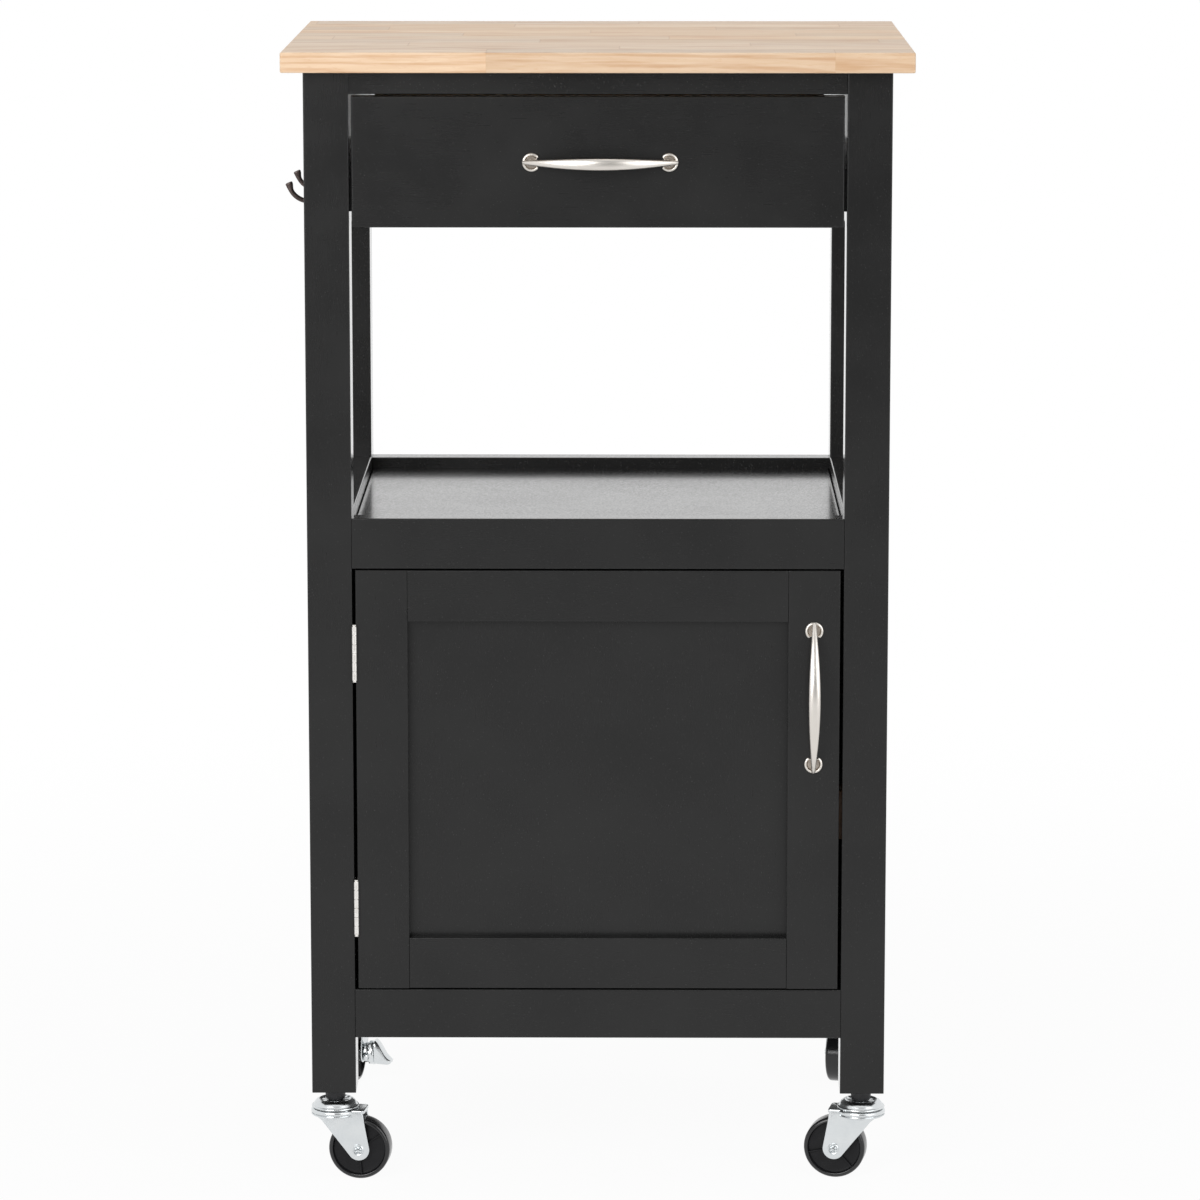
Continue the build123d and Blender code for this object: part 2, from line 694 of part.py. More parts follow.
def hinge(middle):
    # The frame leaf, the door leaf and the pin of one hinge, its knuckles shared out in turn
    z = centred(middle, hinge_length)
    pitch = hinge_length / hinge_knuckles
    axis_place = Pos(hinge_x, hinge_y, 0)
    barrel = {"frame": [], "door": []}
    for index in range(hinge_knuckles):
        span = (z[0] + index * pitch, z[0] + (index + 1) * pitch)
        barrel["door" if index % 2 else "frame"].append(span)
    leaves = {
        "frame": block((-inner_x, hinge_thickness - inner_x), leaf_y, z),
        "door": block((door_left_x - hinge_thickness, door_left_x), leaf_y, z),
    }
    bore = axis_place * rod(hinge_pin_diameter + 2 * pin_gap, grown(z, 1))
    for name, other in (("frame", "door"), ("door", "frame")):
        leaf = leaves[name]
        for span in barrel[name]:
            leaf = leaf + axis_place * rod(hinge_barrel_diameter, grown(span, -running_gap / 2))
        for span in barrel[other]:
            notch = rod(hinge_barrel_diameter + 2 * hinge_notch_clearance, grown(span, running_gap / 2))
            leaf = leaf - axis_place * notch
        leaves[name] = leaf - bore
    pin = rod(hinge_pin_diameter, grown(z, running_gap))
    for head in ((z[0] - running_gap - hinge_thickness, z[0] - running_gap), (z[1] + running_gap,) * 2):
        pin = pin + rod(hinge_pin_head_diameter, (head[0], max(head[1], head[0] + hinge_thickness)))
    return leaves["frame"], leaves["door"], axis_place * pin


hinges = [hinge(middle) for middle in hinge_heights]
hinge_frame_leaves = [carved(parts[0], frame_leaf_holes) for parts in hinges]
hinge_door_leaves = [carved(parts[1], door_leaf_holes) for parts in hinges]
hinge_pins = [parts[2] for parts in hinges]

# Magnetic catch and its strike plate
magnetic_catch = block(catch_x, catch_y, centred(catch_height, catch_length))
magnetic_catch = fillet(magnetic_catch.edges().filter_by(Axis.X), edge_radius)
catch_sink = rightward * rod(wood_screw_head_diameter + 2 * board_gap, (-catch_width, 0))
catch_sinks = [Pos(*place) * catch_sink for place in catch_screw_places]
magnetic_catch = carved(magnetic_catch, catch_holes + catch_sinks)
strike_y = (door_back_y, door_back_y + strike_thickness)
strike_plate = block(strike_x, strike_y, centred(catch_height, strike_length))
strike_plate = carved(rounded(strike_plate, Axis.Y, 2 * edge_radius), strike_holes)


def towel_hook(y):
    # A plate with a bar that dips, turns up and ends in a thicker tip, drawn away from the apron along +X
    plate = block((0, hook_plate_thickness), centred(0, hook_plate_width), centred(0, hook_plate_height))
    plate = Pos(0, 0, hook_plate_base + hook_plate_height / 2) * rounded(plate, Axis.X, hook_plate_width / 3)
    dip = hook_root_lift - hook_bend_lift
    run = hook_bend_distance - hook_plate_thickness / 2
    root_radius = (run * run + dip * dip) / (2 * dip)
    root_angle = degrees(asin(run / root_radius))
    root_centre = (hook_bend_distance, hook_bend_height + root_radius)
    root_arc = CenterArc(root_centre, root_radius, 270 - root_angle, root_angle)
    bend_centre = (hook_bend_distance, hook_bend_height + hook_bend_radius)
    bend_arc = CenterArc(bend_centre, hook_bend_radius, 270, hook_bend_angle)
    path = Plane.XZ * Wire([root_arc, bend_arc])
    section = Rectangle(hook_arm_width, hook_arm_thickness)
    start = path @ 0
    start_plane = Plane(origin=start, x_dir=(0, 1, 0), z_dir=path % 0)
    arm = sweep(start_plane * fillet(section.vertices(), hook_arm_thickness / 3), path=path)
    tip_plane = Plane(origin=path @ 1, x_dir=(0, 1, 0), z_dir=path % 1)
    tip_section = Rectangle(hook_arm_width, hook_tip_thickness)
    tip = loft([
        tip_plane * fillet(section.vertices(), hook_arm_thickness / 3),
        tip_plane.offset(hook_tip_length) * fillet(tip_section.vertices(), hook_arm_thickness / 3),
    ])
    hook = plate + arm + tip
    return Pos(-side_outer_x, y, 0) * Rot(0, 0, 180) * hook


def towel_hook_holes(y):
    return [hole for hole in hook_holes if abs(hole.center().Y - y) < hook_plate_width]


towel_hooks = [carved(towel_hook(y), towel_hook_holes(y)) for y in centred(0, hook_spacing)]


def stem_socket():
    # A plastic sleeve in the leg with a tapered collar under it
    bore = stem_diameter / 2 + pin_gap
    return spun([
        (bore, cap_top), (collar_base_diameter / 2, cap_top), (collar_top_diameter / 2, leg_foot_height),
        (socket_diameter / 2, leg_foot_height), (socket_diameter / 2, leg_foot_height + socket_in_leg),
        (bore, leg_foot_height + socket_in_leg),
    ])


def caster_stem():
    # The stem, the cap that covers the bearing, and the kingpin that carries the fork
    head_top = fork_plate_base - running_gap
    head_base = head_top - kingpin_head_height
    head = kingpin_head_diameter / 2
    crown = cap_crown_diameter / 2
    shaft = stem_diameter / 2
    end = leg_foot_height + stem_in_leg
    return spun([
        (0, head_base), (head - stem_chamfer, head_base), (head, head_base + stem_chamfer), (head, head_top),
        (kingpin_diameter / 2, head_top), (kingpin_diameter / 2, cap_base), (cap_rim_diameter / 2, cap_base),
        (cap_rim_diameter / 2, cap_base + cap_rim_height), (crown, cap_top - cap_crown_bevel),
        (crown - cap_crown_bevel, cap_top), (shaft, cap_top), (shaft, end - stem_chamfer),
        (shaft - stem_chamfer, end), (0, end),
    ])


def tangent_point(point, centre, radius, side):
    # Where a line from a point touches a circle, on the side given as +1 or -1
    run = hypot(centre[0] - point[0], centre[1] - point[1])
    angle = atan2(point[1] - centre[1], point[0] - centre[0]) + side * acos(radius / run)
    return centre[0] + radius * cos(angle), centre[1] + radius * sin(angle)


def caster_fork():
    # A round plate under the cap, a tab behind it and two arms down to the axle
    hub = (trail_length, axle_z)
    waist = (-fork_waist_front, fork_waist_height)
    front_root = (-fork_arm_front, fork_plate_base)
    back_root = (fork_arm_back, fork_plate_base)
    hollow = tuple((low + high) / 2 + fork_waist_hollow for low, high in zip(waist, front_root))
    front_touch = tangent_point(waist, hub, fork_end_radius, 1)
    back_touch = tangent_point(back_root, hub, fork_end_radius, -1)
    lowest = (trail_length, axle_z - fork_end_radius)
    edge = [
        Line((fork_arm_back, fork_plate_top), (-fork_arm_front, fork_plate_top)),
        Line((-fork_arm_front, fork_plate_top), front_root),
        ThreePointArc(front_root, hollow, waist),
        Line(waist, front_touch),
        ThreePointArc(front_touch, lowest, back_touch),
        Line(back_touch, back_root),
        Line(back_root, (fork_arm_back, fork_plate_top)),
    ]
    arm = Plane.XZ * make_face(edge)
    arm = Pos(0, arm_outer_y, 0) * extrude(arm, fork_thickness)
    plate = rod(fork_plate_diameter, (fork_plate_base, fork_plate_top))
    tab = block((0, fork_tab_length), (-arm_outer_y, arm_outer_y), (fork_plate_base, fork_plate_top))
    fork = plate + rounded(tab, Axis.Z, fork_thickness) + arm + mirror(arm, about=Plane.XZ)
    fork = fork - rod(kingpin_diameter + 2 * pin_gap, (fork_plate_base - 1, fork_plate_top + 1))
    axle_hole = rod(axle_diameter + 2 * pin_gap, centred(0, 3 * arm_outer_y))
    return fork - Pos(trail_length, 0, axle_z) * backward * axle_hole


def caster_wheel(rib_angle):
    # A wheel with a wide rim, a sunk web with thin ribs on both faces, and a hub
    half = wheel_width / 2
    web = half - wheel_web_recess
    outer = wheel_diameter / 2
    rim = outer - wheel_rim_width
    bore = axle_diameter / 2 + pin_gap
    hub = wheel_hub_diameter / 2
    section = [
        (bore, -half), (hub, -half), (hub, -web), (rim, -web), (rim, -half), (outer, -half),
        (outer, half), (rim, half), (rim, web), (hub, web), (hub, half), (bore, half),
    ]
    wheel = spun(section)
    tread_edges = wheel.edges().filter_by(GeomType.CIRCLE).sort_by(lambda edge: edge.radius)[-2:]
    wheel = fillet(tread_edges, wheel_edge_radius)
    rib_x = (hub - 1, rim + 1)
    for index in range(wheel_ribs):
        turn = Rot(0, 0, rib_angle + index * 360 / wheel_ribs)
        for z in ((web - 1, web + wheel_rib_height), (-web - wheel_rib_height, 1 - web)):
            wheel = wheel + turn * block(rib_x, centred(0, wheel_rib_width), z)
    return Pos(trail_length, 0, axle_z) * Rot(90, 0, 0) * wheel


def crimped_head(z, outward):
    # A riveted end of the axle, with short slots round its face
    head = rod(axle_head_diameter, z)
    face = z[1] if outward > 0 else z[0]
    slot_x = (axle_head_diameter / 6, axle_head_diameter)
    slot = block(slot_x, centred(0, crimp_slot_width), centred(face, 2 * crimp_slot_depth))
    for index in range(crimp_slots):
        head = head - Rot(0, 0, index * 360 / crimp_slots) * slot
    return head


def caster_axle(braked):
    # The axle with a head on each arm; where there is a brake, the inner end carries the lever
    near = crimped_head((arm_outer_y, arm_outer_y + axle_head_height), 1)
    far = rod(axle_diameter, (-brake_y - brake_hub_length, 0))
    if not braked:
        far = crimped_head((-arm_outer_y - axle_head_height, -arm_outer_y), -1)
    shaft = rod(axle_diameter, (-arm_outer_y, arm_outer_y))
    return Pos(trail_length, 0, axle_z) * Rot(90, 0, 0) * (shaft + near + far)


def brake_lever():
    # A slotted hub, a thick round plate and a pedal that falls away outwards, drawn along +Y
    step = brake_y + brake_hub_length
    hub = rod(brake_hub_diameter, (brake_y, step + brake_plate_thickness))
    slot_x = (axle_diameter / 2 + 1, brake_hub_diameter)
    slot = block(slot_x, centred(0, crimp_slot_width), (brake_y - 1, step))
    for index in range(crimp_slots):
        hub = hub - Rot(0, 0, index * 360 / crimp_slots) * slot
    plate = rod(brake_plate_diameter, (step, step + brake_plate_thickness))
    pedal_y = step + brake_plate_thickness
    core = backward * (hub + plate)
    pedal_end = pedal_y + brake_pedal_length
    low = brake_pedal_base - axle_z
    high = brake_pedal_top - axle_z
    end_high = brake_pedal_end_top - axle_z
    hollow_y = pedal_y + brake_pedal_hollow_reach
    hollow_z = (high + end_high) / 2 - brake_pedal_hollow
    outline = [
        Line((pedal_y, low), (pedal_end, low)),
        Line((pedal_end, low), (pedal_end, end_high)),
        ThreePointArc((pedal_end, end_high), (hollow_y, hollow_z), (pedal_y, high)),
        Line((pedal_y, high), (pedal_y, low)),
    ]
    face = Plane.YZ * make_face(outline)
    pedal = extrude(face, brake_pedal_width / 2, both=True)
    room_x = centred(0, brake_pedal_width - 2 * brake_pedal_thickness)
    room_y = (pedal_y + brake_pedal_thickness, pedal_end - brake_pedal_thickness)
    room = block(room_x, room_y, (low - 1, low + brake_pedal_thickness))
    pedal = Pos(brake_pedal_offset, 0, 0) * (pedal - room)
    bore = backward * rod(axle_diameter + 2 * pin_gap, (brake_y - 1, step + brake_bore_end_gap))
    return Pos(trail_length, 0, axle_z) * (core + pedal - bore)


rear_caster_y = sum(rear_leg_y) / 2
front_caster_y = sum(front_leg_y) / 2
casters = {
    "front_left": (-leg_middle_x, front_caster_y, front_left_heading, front_left_rib_angle, False),
    "front_right": (leg_middle_x, front_caster_y, front_right_heading, front_right_rib_angle, False),
    "rear_left": (-leg_middle_x, rear_caster_y, rear_left_heading, rear_left_rib_angle, True),
    "rear_right": (leg_middle_x, rear_caster_y, rear_right_heading, rear_right_rib_angle, True),
}

nodes = {
    "top_panel": top_panel,
    "front_left_leg": front_left_leg,
    "front_right_leg": front_right_leg,
    "rear_left_leg": rear_left_leg,
    "rear_right_leg": rear_right_leg,
    "front_top_rail": front_top_rail,
    "rear_top_rail": rear_top_rail,
    "left_apron": left_apron,
    "right_apron": right_apron,
    "front_mid_rail": front_mid_rail,
    "rear_mid_rail": rear_mid_rail,
    "front_bottom_rail": front_bottom_rail,
    "rear_bottom_rail": rear_bottom_rail,
    "left_side_panel": left_side_panel,
    "right_side_panel": right_side_panel,
    "back_panel": back_panel,
    "shelf_board": shelf_board,
    "cabinet_floor": cabinet_floor,
    "shelf_cleats": cleats,
    "frame_screws": top_screws + cleat_screws + slide_screws + back_screws + hook_screws
    + frame_leaf_screws + catch_screws,
    "slide_rails": [left_slide_rail, right_slide_rail],
    "slide_runners": [left_slide_runner, right_slide_runner],
    "drawer_front": drawer_front,
    "drawer_left_side": drawer_left_side,
    "drawer_right_side": drawer_right_side,
    "drawer_back": drawer_back,
    "drawer_bottom": drawer_bottom,
    "drawer_handle": drawer_handle,
    "drawer_handle_screws": drawer_handle_screws,
    "drawer_runner_screws": runner_screws,
    "door_hinge_stile": door_hinge_stile,
    "door_latch_stile": door_latch_stile,
    "door_top_rail": door_top_rail,
    "door_bottom_rail": door_bottom_rail,
    "door_panel": door_panel,
    "door_handle": door_handle,
    "door_handle_screws": door_handle_screws,
    "door_screws": door_leaf_screws + strike_screws,
    "hinge_frame_leaves": hinge_frame_leaves,
    "hinge_door_leaves": hinge_door_leaves,
    "hinge_pins": hinge_pins,
    "magnetic_catch": magnetic_catch,
    "strike_plate": strike_plate,
    "towel_hooks": towel_hooks,
    "stem_sockets": [],
    "caster_stems": [],
}

for name, (x, y, heading, rib_angle, braked) in casters.items():
    place = Pos(x, y, 0) * Rot(0, 0, heading)
    nodes["stem_sockets"].append(place * stem_socket())
    nodes["caster_stems"].append(place * caster_stem())
    nodes[name + "_fork"] = place * caster_fork()
    nodes[name + "_wheel"] = place * caster_wheel(rib_angle)
    nodes[name + "_axle"] = place * caster_axle(braked)
    if braked:
        nodes[name + "_brake_lever"] = place * brake_lever()

os.makedirs("parts", exist_ok=True)
for name, shape in nodes.items():
    if isinstance(shape, list):
        shape = Compound([solid for piece in shape for solid in piece.solids()])
    export_step(shape, "parts/" + name + ".step")
    print(name, len(shape.solids()), "solids,", round(shape.volume / 1000, 2), "cm3")
print(len(nodes), "nodes")
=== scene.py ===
import math
import bmesh
import bpy
from mathutils import Matrix, Vector


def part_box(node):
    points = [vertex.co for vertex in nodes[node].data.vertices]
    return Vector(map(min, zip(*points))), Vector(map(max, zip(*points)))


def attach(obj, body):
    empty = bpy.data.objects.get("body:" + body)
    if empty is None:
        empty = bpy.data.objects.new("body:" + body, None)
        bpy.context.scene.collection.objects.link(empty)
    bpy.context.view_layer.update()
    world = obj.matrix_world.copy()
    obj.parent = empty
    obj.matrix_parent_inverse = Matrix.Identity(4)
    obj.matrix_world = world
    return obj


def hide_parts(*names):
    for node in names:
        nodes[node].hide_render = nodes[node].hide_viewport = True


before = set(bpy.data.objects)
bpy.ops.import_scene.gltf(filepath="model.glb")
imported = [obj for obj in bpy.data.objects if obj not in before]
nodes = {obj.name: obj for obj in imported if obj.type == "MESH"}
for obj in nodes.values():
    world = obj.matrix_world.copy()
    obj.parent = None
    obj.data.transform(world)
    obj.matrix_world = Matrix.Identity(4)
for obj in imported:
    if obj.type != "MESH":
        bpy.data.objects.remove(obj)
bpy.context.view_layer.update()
mm = 0.001
print("frame loaded:", len(nodes), "nodes")


# camera, light and floor

cameraView = {"place": (0.0306, -4.313, 1.197), "down": 9.85, "left": 0.40, "lens": 158.4}
studio = {
    "floorSize": 9.0, "floorColour": "#F4F4F3", "floorGlow": 0.95, "fadeStart": 0.4, "fadeEnd": 1.9,
    "skyFill": 0.34, "frontReflection": 0.28,
    "lamps": [
        {"name": "keySoftbox", "place": (-1.7, -3.3, 1.75), "size": 2.5, "power": 86},
        {"name": "sideSoftbox", "place": (2.5, -2.6, 1.55), "size": 3.0, "power": 45},
        {"name": "topSoftbox", "place": (0.2, 0.4, 2.9), "size": 2.0, "power": 9},
    ],
}


def linearColour(hexCode):
    parts = [int(hexCode[i:i + 2], 16) / 255 for i in (1, 3, 5)]
    return [p / 12.92 if p <= 0.04045 else ((p + 0.055) / 1.055) ** 2.4 for p in parts] + [1.0]


def addNode(tree, kind, values=None, links=None, **settings):
    node = tree.nodes.new(kind)
    for name, value in settings.items():
        setattr(node, name, value)
    for socket, value in (values or {}).items():
        node.inputs[socket].default_value = value
    for socket, source in (links or {}).items():
        tree.links.new(source, node.inputs[socket])
    return node


def addCamera(view):
    data = bpy.data.cameras.new("photoCamera")
    data.sensor_width = 36
    data.lens = view["lens"]
    camera = bpy.data.objects.new("photoCamera", data)
    camera.location = view["place"]
    camera.rotation_euler = (math.radians(90 - view["down"]), 0, math.radians(view["left"]))
    bpy.context.scene.collection.objects.link(camera)
    bpy.context.scene.camera = camera


def addSky(studio):
    world = bpy.data.worlds.new("studioSky")
    bpy.context.scene.world = world
    world.use_nodes = True
    tree = world.node_tree
    tree.nodes.clear()
    path = addNode(tree, "ShaderNodeLightPath")
    way = addNode(tree, "ShaderNodeTexCoord")
    split = addNode(tree, "ShaderNodeSeparateXYZ", links={"Vector": way.outputs["Generated"]})
    # the room behind the camera is a little darker than the white set, and metal shows it
    room = addNode(tree, "ShaderNodeMapRange",
                   {"From Min": -0.98, "From Max": -0.35, "To Min": studio["frontReflection"], "To Max": 1.0},
                   {"Value": split.outputs["Y"]}, interpolation_type="SMOOTHSTEP")
    seen = addNode(tree, "ShaderNodeMath", operation="MAXIMUM",
                   links={0: path.outputs["Is Camera Ray"], 1: path.outputs["Is Transmission Ray"]})
    fill = addNode(tree, "ShaderNodeMix", {"A": studio["skyFill"]},
                   {"Factor": path.outputs["Is Glossy Ray"], "B": room.outputs["Result"]}, data_type="FLOAT")
    level = addNode(tree, "ShaderNodeMix", {"B": 1.0}, {"Factor": seen.outputs[0], "A": fill.outputs["Result"]},
                    data_type="FLOAT")
    glow = addNode(tree, "ShaderNodeBackground", {"Color": (1, 1, 1, 1)}, {"Strength": level.outputs["Result"]})
    addNode(tree, "ShaderNodeOutputWorld", links={"Surface": glow.outputs[0]})


def addFloor(studio):
    material = bpy.data.materials.new("whitePaperSweep")
    material.use_nodes = True
    tree = material.node_tree
    tree.nodes.clear()
    path = addNode(tree, "ShaderNodeLightPath")
    # the paper runs out into plain white away from the cart, and keeps a soft shadow under it
    place = addNode(tree, "ShaderNodeTexCoord").outputs["Object"]
    away = addNode(tree, "ShaderNodeVectorMath", links={0: place}, operation="LENGTH").outputs["Value"]
    white = addNode(tree, "ShaderNodeMapRange", {"From Min": studio["fadeStart"], "From Max": studio["fadeEnd"],
                    "To Min": studio["floorGlow"], "To Max": 1.0}, {"Value": away}, interpolation_type="SMOOTHSTEP")
    straight = addNode(tree, "ShaderNodeMath", links={0: path.outputs["Is Camera Ray"], 1: white.outputs["Result"]},
                       operation="MULTIPLY")
    mirrored = addNode(tree, "ShaderNodeMath", operation="MAXIMUM",
                       links={0: path.outputs["Is Glossy Ray"], 1: path.outputs["Is Transmission Ray"]})
    share = addNode(tree, "ShaderNodeMath", operation="MAXIMUM",
                    links={0: straight.outputs[0], 1: mirrored.outputs[0]})
    paper = addNode(tree, "ShaderNodeBsdfDiffuse", {"Color": linearColour(studio["floorColour"])})
    glow = addNode(tree, "ShaderNodeEmission", {"Color": (1, 1, 1, 1), "Strength": 1.0})
    both = addNode(tree, "ShaderNodeMixShader",
                   links={0: share.outputs[0], 1: paper.outputs[0], 2: glow.outputs[0]})
    addNode(tree, "ShaderNodeOutputMaterial", links={"Surface": both.outputs[0]})
    bm = bmesh.new()
    bmesh.ops.create_grid(bm, x_segments=1, y_segments=1, size=studio["floorSize"] / 2)
    mesh = bpy.data.meshes.new("studioFloor")
    bm.to_mesh(mesh)
    bm.free()
    mesh.materials.append(material)
    floor = bpy.data.objects.new("studioFloor", mesh)
    bpy.context.scene.collection.objects.link(floor)


def addLamp(lamp):
    data = bpy.data.lights.new(lamp["name"], "AREA")
    data.shape = "DISK"
    data.size = lamp["size"]
    data.energy = lamp["power"]
    light = bpy.data.objects.new(lamp["name"], data)
    light.location = lamp["place"]
    toCart = Vector((0, 0, 0.5)) - Vector(lamp["place"])
    light.rotation_euler = toCart.to_track_quat("-Z", "Y").to_euler()
    bpy.context.scene.collection.objects.link(light)


addCamera(cameraView)
addSky(studio)
addFloor(studio)
for lamp in studio["lamps"]:
    addLamp(lamp)
bpy.context.scene.view_settings.view_transform = "Standard"
print("studio set up")


# finishes

def startMaterial(name, **surface):
    material = bpy.data.materials.new(name)
    material.use_nodes = True
    tree = material.node_tree
    tree.nodes.clear()
    shader = addNode(tree, "ShaderNodeBsdfPrincipled", surface)
    addNode(tree, "ShaderNodeOutputMaterial", links={"Surface": shader.outputs[0]})
    place = addNode(tree, "ShaderNodeTexCoord").outputs["Object"]
    return material, tree, shader, place


def stretched(tree, place, factors):
    return addNode(tree, "ShaderNodeMapping", {"Scale": factors}, {"Vector": place}).outputs[0]


def drawnOut(along, share):
    # scale factors that draw a pattern out along one axis
    return [share if axis == along else 1.0 for axis in "xyz"]


def noise(tree, place, size, detail=3.0, rough=0.55, twist=0.0):
    # size is the width of one blotch in millimetres
    return addNode(tree, "ShaderNodeTexNoise", {"Scale": 1000 / size, "Detail": detail, "Roughness": rough,
                   "Distortion": twist}, {"Vector": place}).outputs["Fac"]


def spread(tree, source, low, high, fromLow=0.3, fromHigh=0.7):
    values = {"From Min": fromLow, "From Max": fromHigh, "To Min": low, "To Max": high}
    return addNode(tree, "ShaderNodeMapRange", values, {"Value": source}).outputs["Result"]


def blended(tree, share, first, second):
    # two colours, or a colour over another node's colour, mixed by a share
    values, links = {}, {"Factor": share}
    for socket, colour in (("A", first), ("B", second)):
        if isinstance(colour, str):
            values[socket] = linearColour(colour)
        else:
            links[socket] = colour
    node = tree.nodes.new("ShaderNodeMix")
    node.data_type = "RGBA"
    sockets = {"Factor": node.inputs[0], "A": node.inputs[6], "B": node.inputs[7]}
    for name, value in values.items():
        sockets[name].default_value = value
    for name, source in links.items():
        tree.links.new(source, sockets[name])
    return node.outputs[2]


def sums(tree, kind, first, second=None, third=None):
    # one Math node, fed by numbers or by other nodes
    node = addNode(tree, "ShaderNodeMath", operation=kind)
    for index, item in enumerate((first, second, third)):
        if isinstance(item, (int, float)):
            node.inputs[index].default_value = item
        elif item is not None:
            tree.links.new(item, node.inputs[index])
    return node.outputs[0]


def relief(tree, shader, height, depth, strength=1.0, under=None):
    # depth in millimetres
    links = {"Height": height}
    if under is not None:
        links["Normal"] = under
    bump = addNode(tree, "ShaderNodeBump", {"Distance": depth * mm, "Strength": strength}, links).outputs[0]
    tree.links.new(bump, shader.inputs["Normal"])
    return bump


lacquer = {
    "colour": "#151515", "colourThin": "#1B1B1B", "cloudPitch": 70, "speck": "#4A4A4A", "speckPitch": 1.1,
    "roughness": (0.25, 0.3), "levelSmoothing": 0.04, "grainPitch": 1.6, "grainLength": 38, "grainDepth": 0.003,
    "peelPitch": 1.3, "peelDepth": 0.003, "skin": (0.35, 0.85), "edgeOn": (0.82, 0.96), "edgeRound": 0.9,
}


def satinLacquer(name, along):
    # sprayed satin black lacquer on solid wood: an even soft sheen, the grain faintly raised under it, and a
    # smoother, glossier skin on the faces that lay level while it dried
    material, tree, shader, place = startMaterial(name, **{"IOR": 1.4, "Coat Roughness": 0.12})
    pitch = lacquer["grainPitch"]
    grain = noise(tree, stretched(tree, place, drawnOut(along, pitch / lacquer["grainLength"])), pitch, 4.0, 0.6)
    peel = noise(tree, place, lacquer["peelPitch"], 1.0)
    cloud = noise(tree, place, lacquer["cloudPitch"], 3.0)
    speck = noise(tree, place, lacquer["speckPitch"], 0.0)
    thin = blended(tree, spread(tree, cloud, 0.0, 1.0), lacquer["colour"], lacquer["colourThin"])
    dusty = blended(tree, spread(tree, speck, 0.0, 0.5, 0.74, 0.82), thin, lacquer["speck"])
    tree.links.new(dusty, shader.inputs["Base Color"])
    faceWay = addNode(tree, "ShaderNodeNewGeometry").outputs["True Normal"]
    up = addNode(tree, "ShaderNodeSeparateXYZ", links={"Vector": faceWay}).outputs["Z"]
    level = spread(tree, up, 0.0, 1.0, 0.3, 0.8)
    # any face seen edge on shows the skin as well
    facing = addNode(tree, "ShaderNodeLayerWeight", {"Blend": 0.5}).outputs["Facing"]
    edgeOn = spread(tree, facing, 0.0, 1.0, *lacquer["edgeOn"])
    skin = sums(tree, "MULTIPLY", level, spread(tree, peel, *lacquer["skin"]))
    tree.links.new(sums(tree, "MAXIMUM", skin, edgeOn), shader.inputs["Coat Weight"])
    sheen = sums(tree, "ADD", spread(tree, cloud, *lacquer["roughness"]), spread(tree, grain, -0.01, 0.01))
    smooth = sums(tree, "MULTIPLY_ADD", level, -lacquer["levelSmoothing"], sheen)
    tree.links.new(smooth, shader.inputs["Roughness"])
    # the film rounds over every sharp edge
    eased = addNode(tree, "ShaderNodeBevel", {"Radius": lacquer["edgeRound"] * mm}, samples=4).outputs["Normal"]
    under = relief(tree, shader, grain, lacquer["grainDepth"], 1.0, eased)
    relief(tree, shader, peel, lacquer["peelDepth"], 1.0, under)
    return material


worktop = {
    "staveWidth": 39.0, "staveLength": 272.0, "firstJoint": 87.0, "rowShift": 0.618, "firstShift": 3.09,
    "boardHeight": 905.0, "pithAside": 70.0, "pithDepth": (18.0, 78.0), "ringPitch": 5.2, "ringWander": 3.4,
    "wanderPitch": 34, "streakPitch": 2.6, "porePitch": 0.7, "glueShare": 0.4, "depth": 0.03,
    "pale": "#EFD4B4", "mid": "#E2BF98", "dark": "#CB9766", "joint": "#B58A60",
}


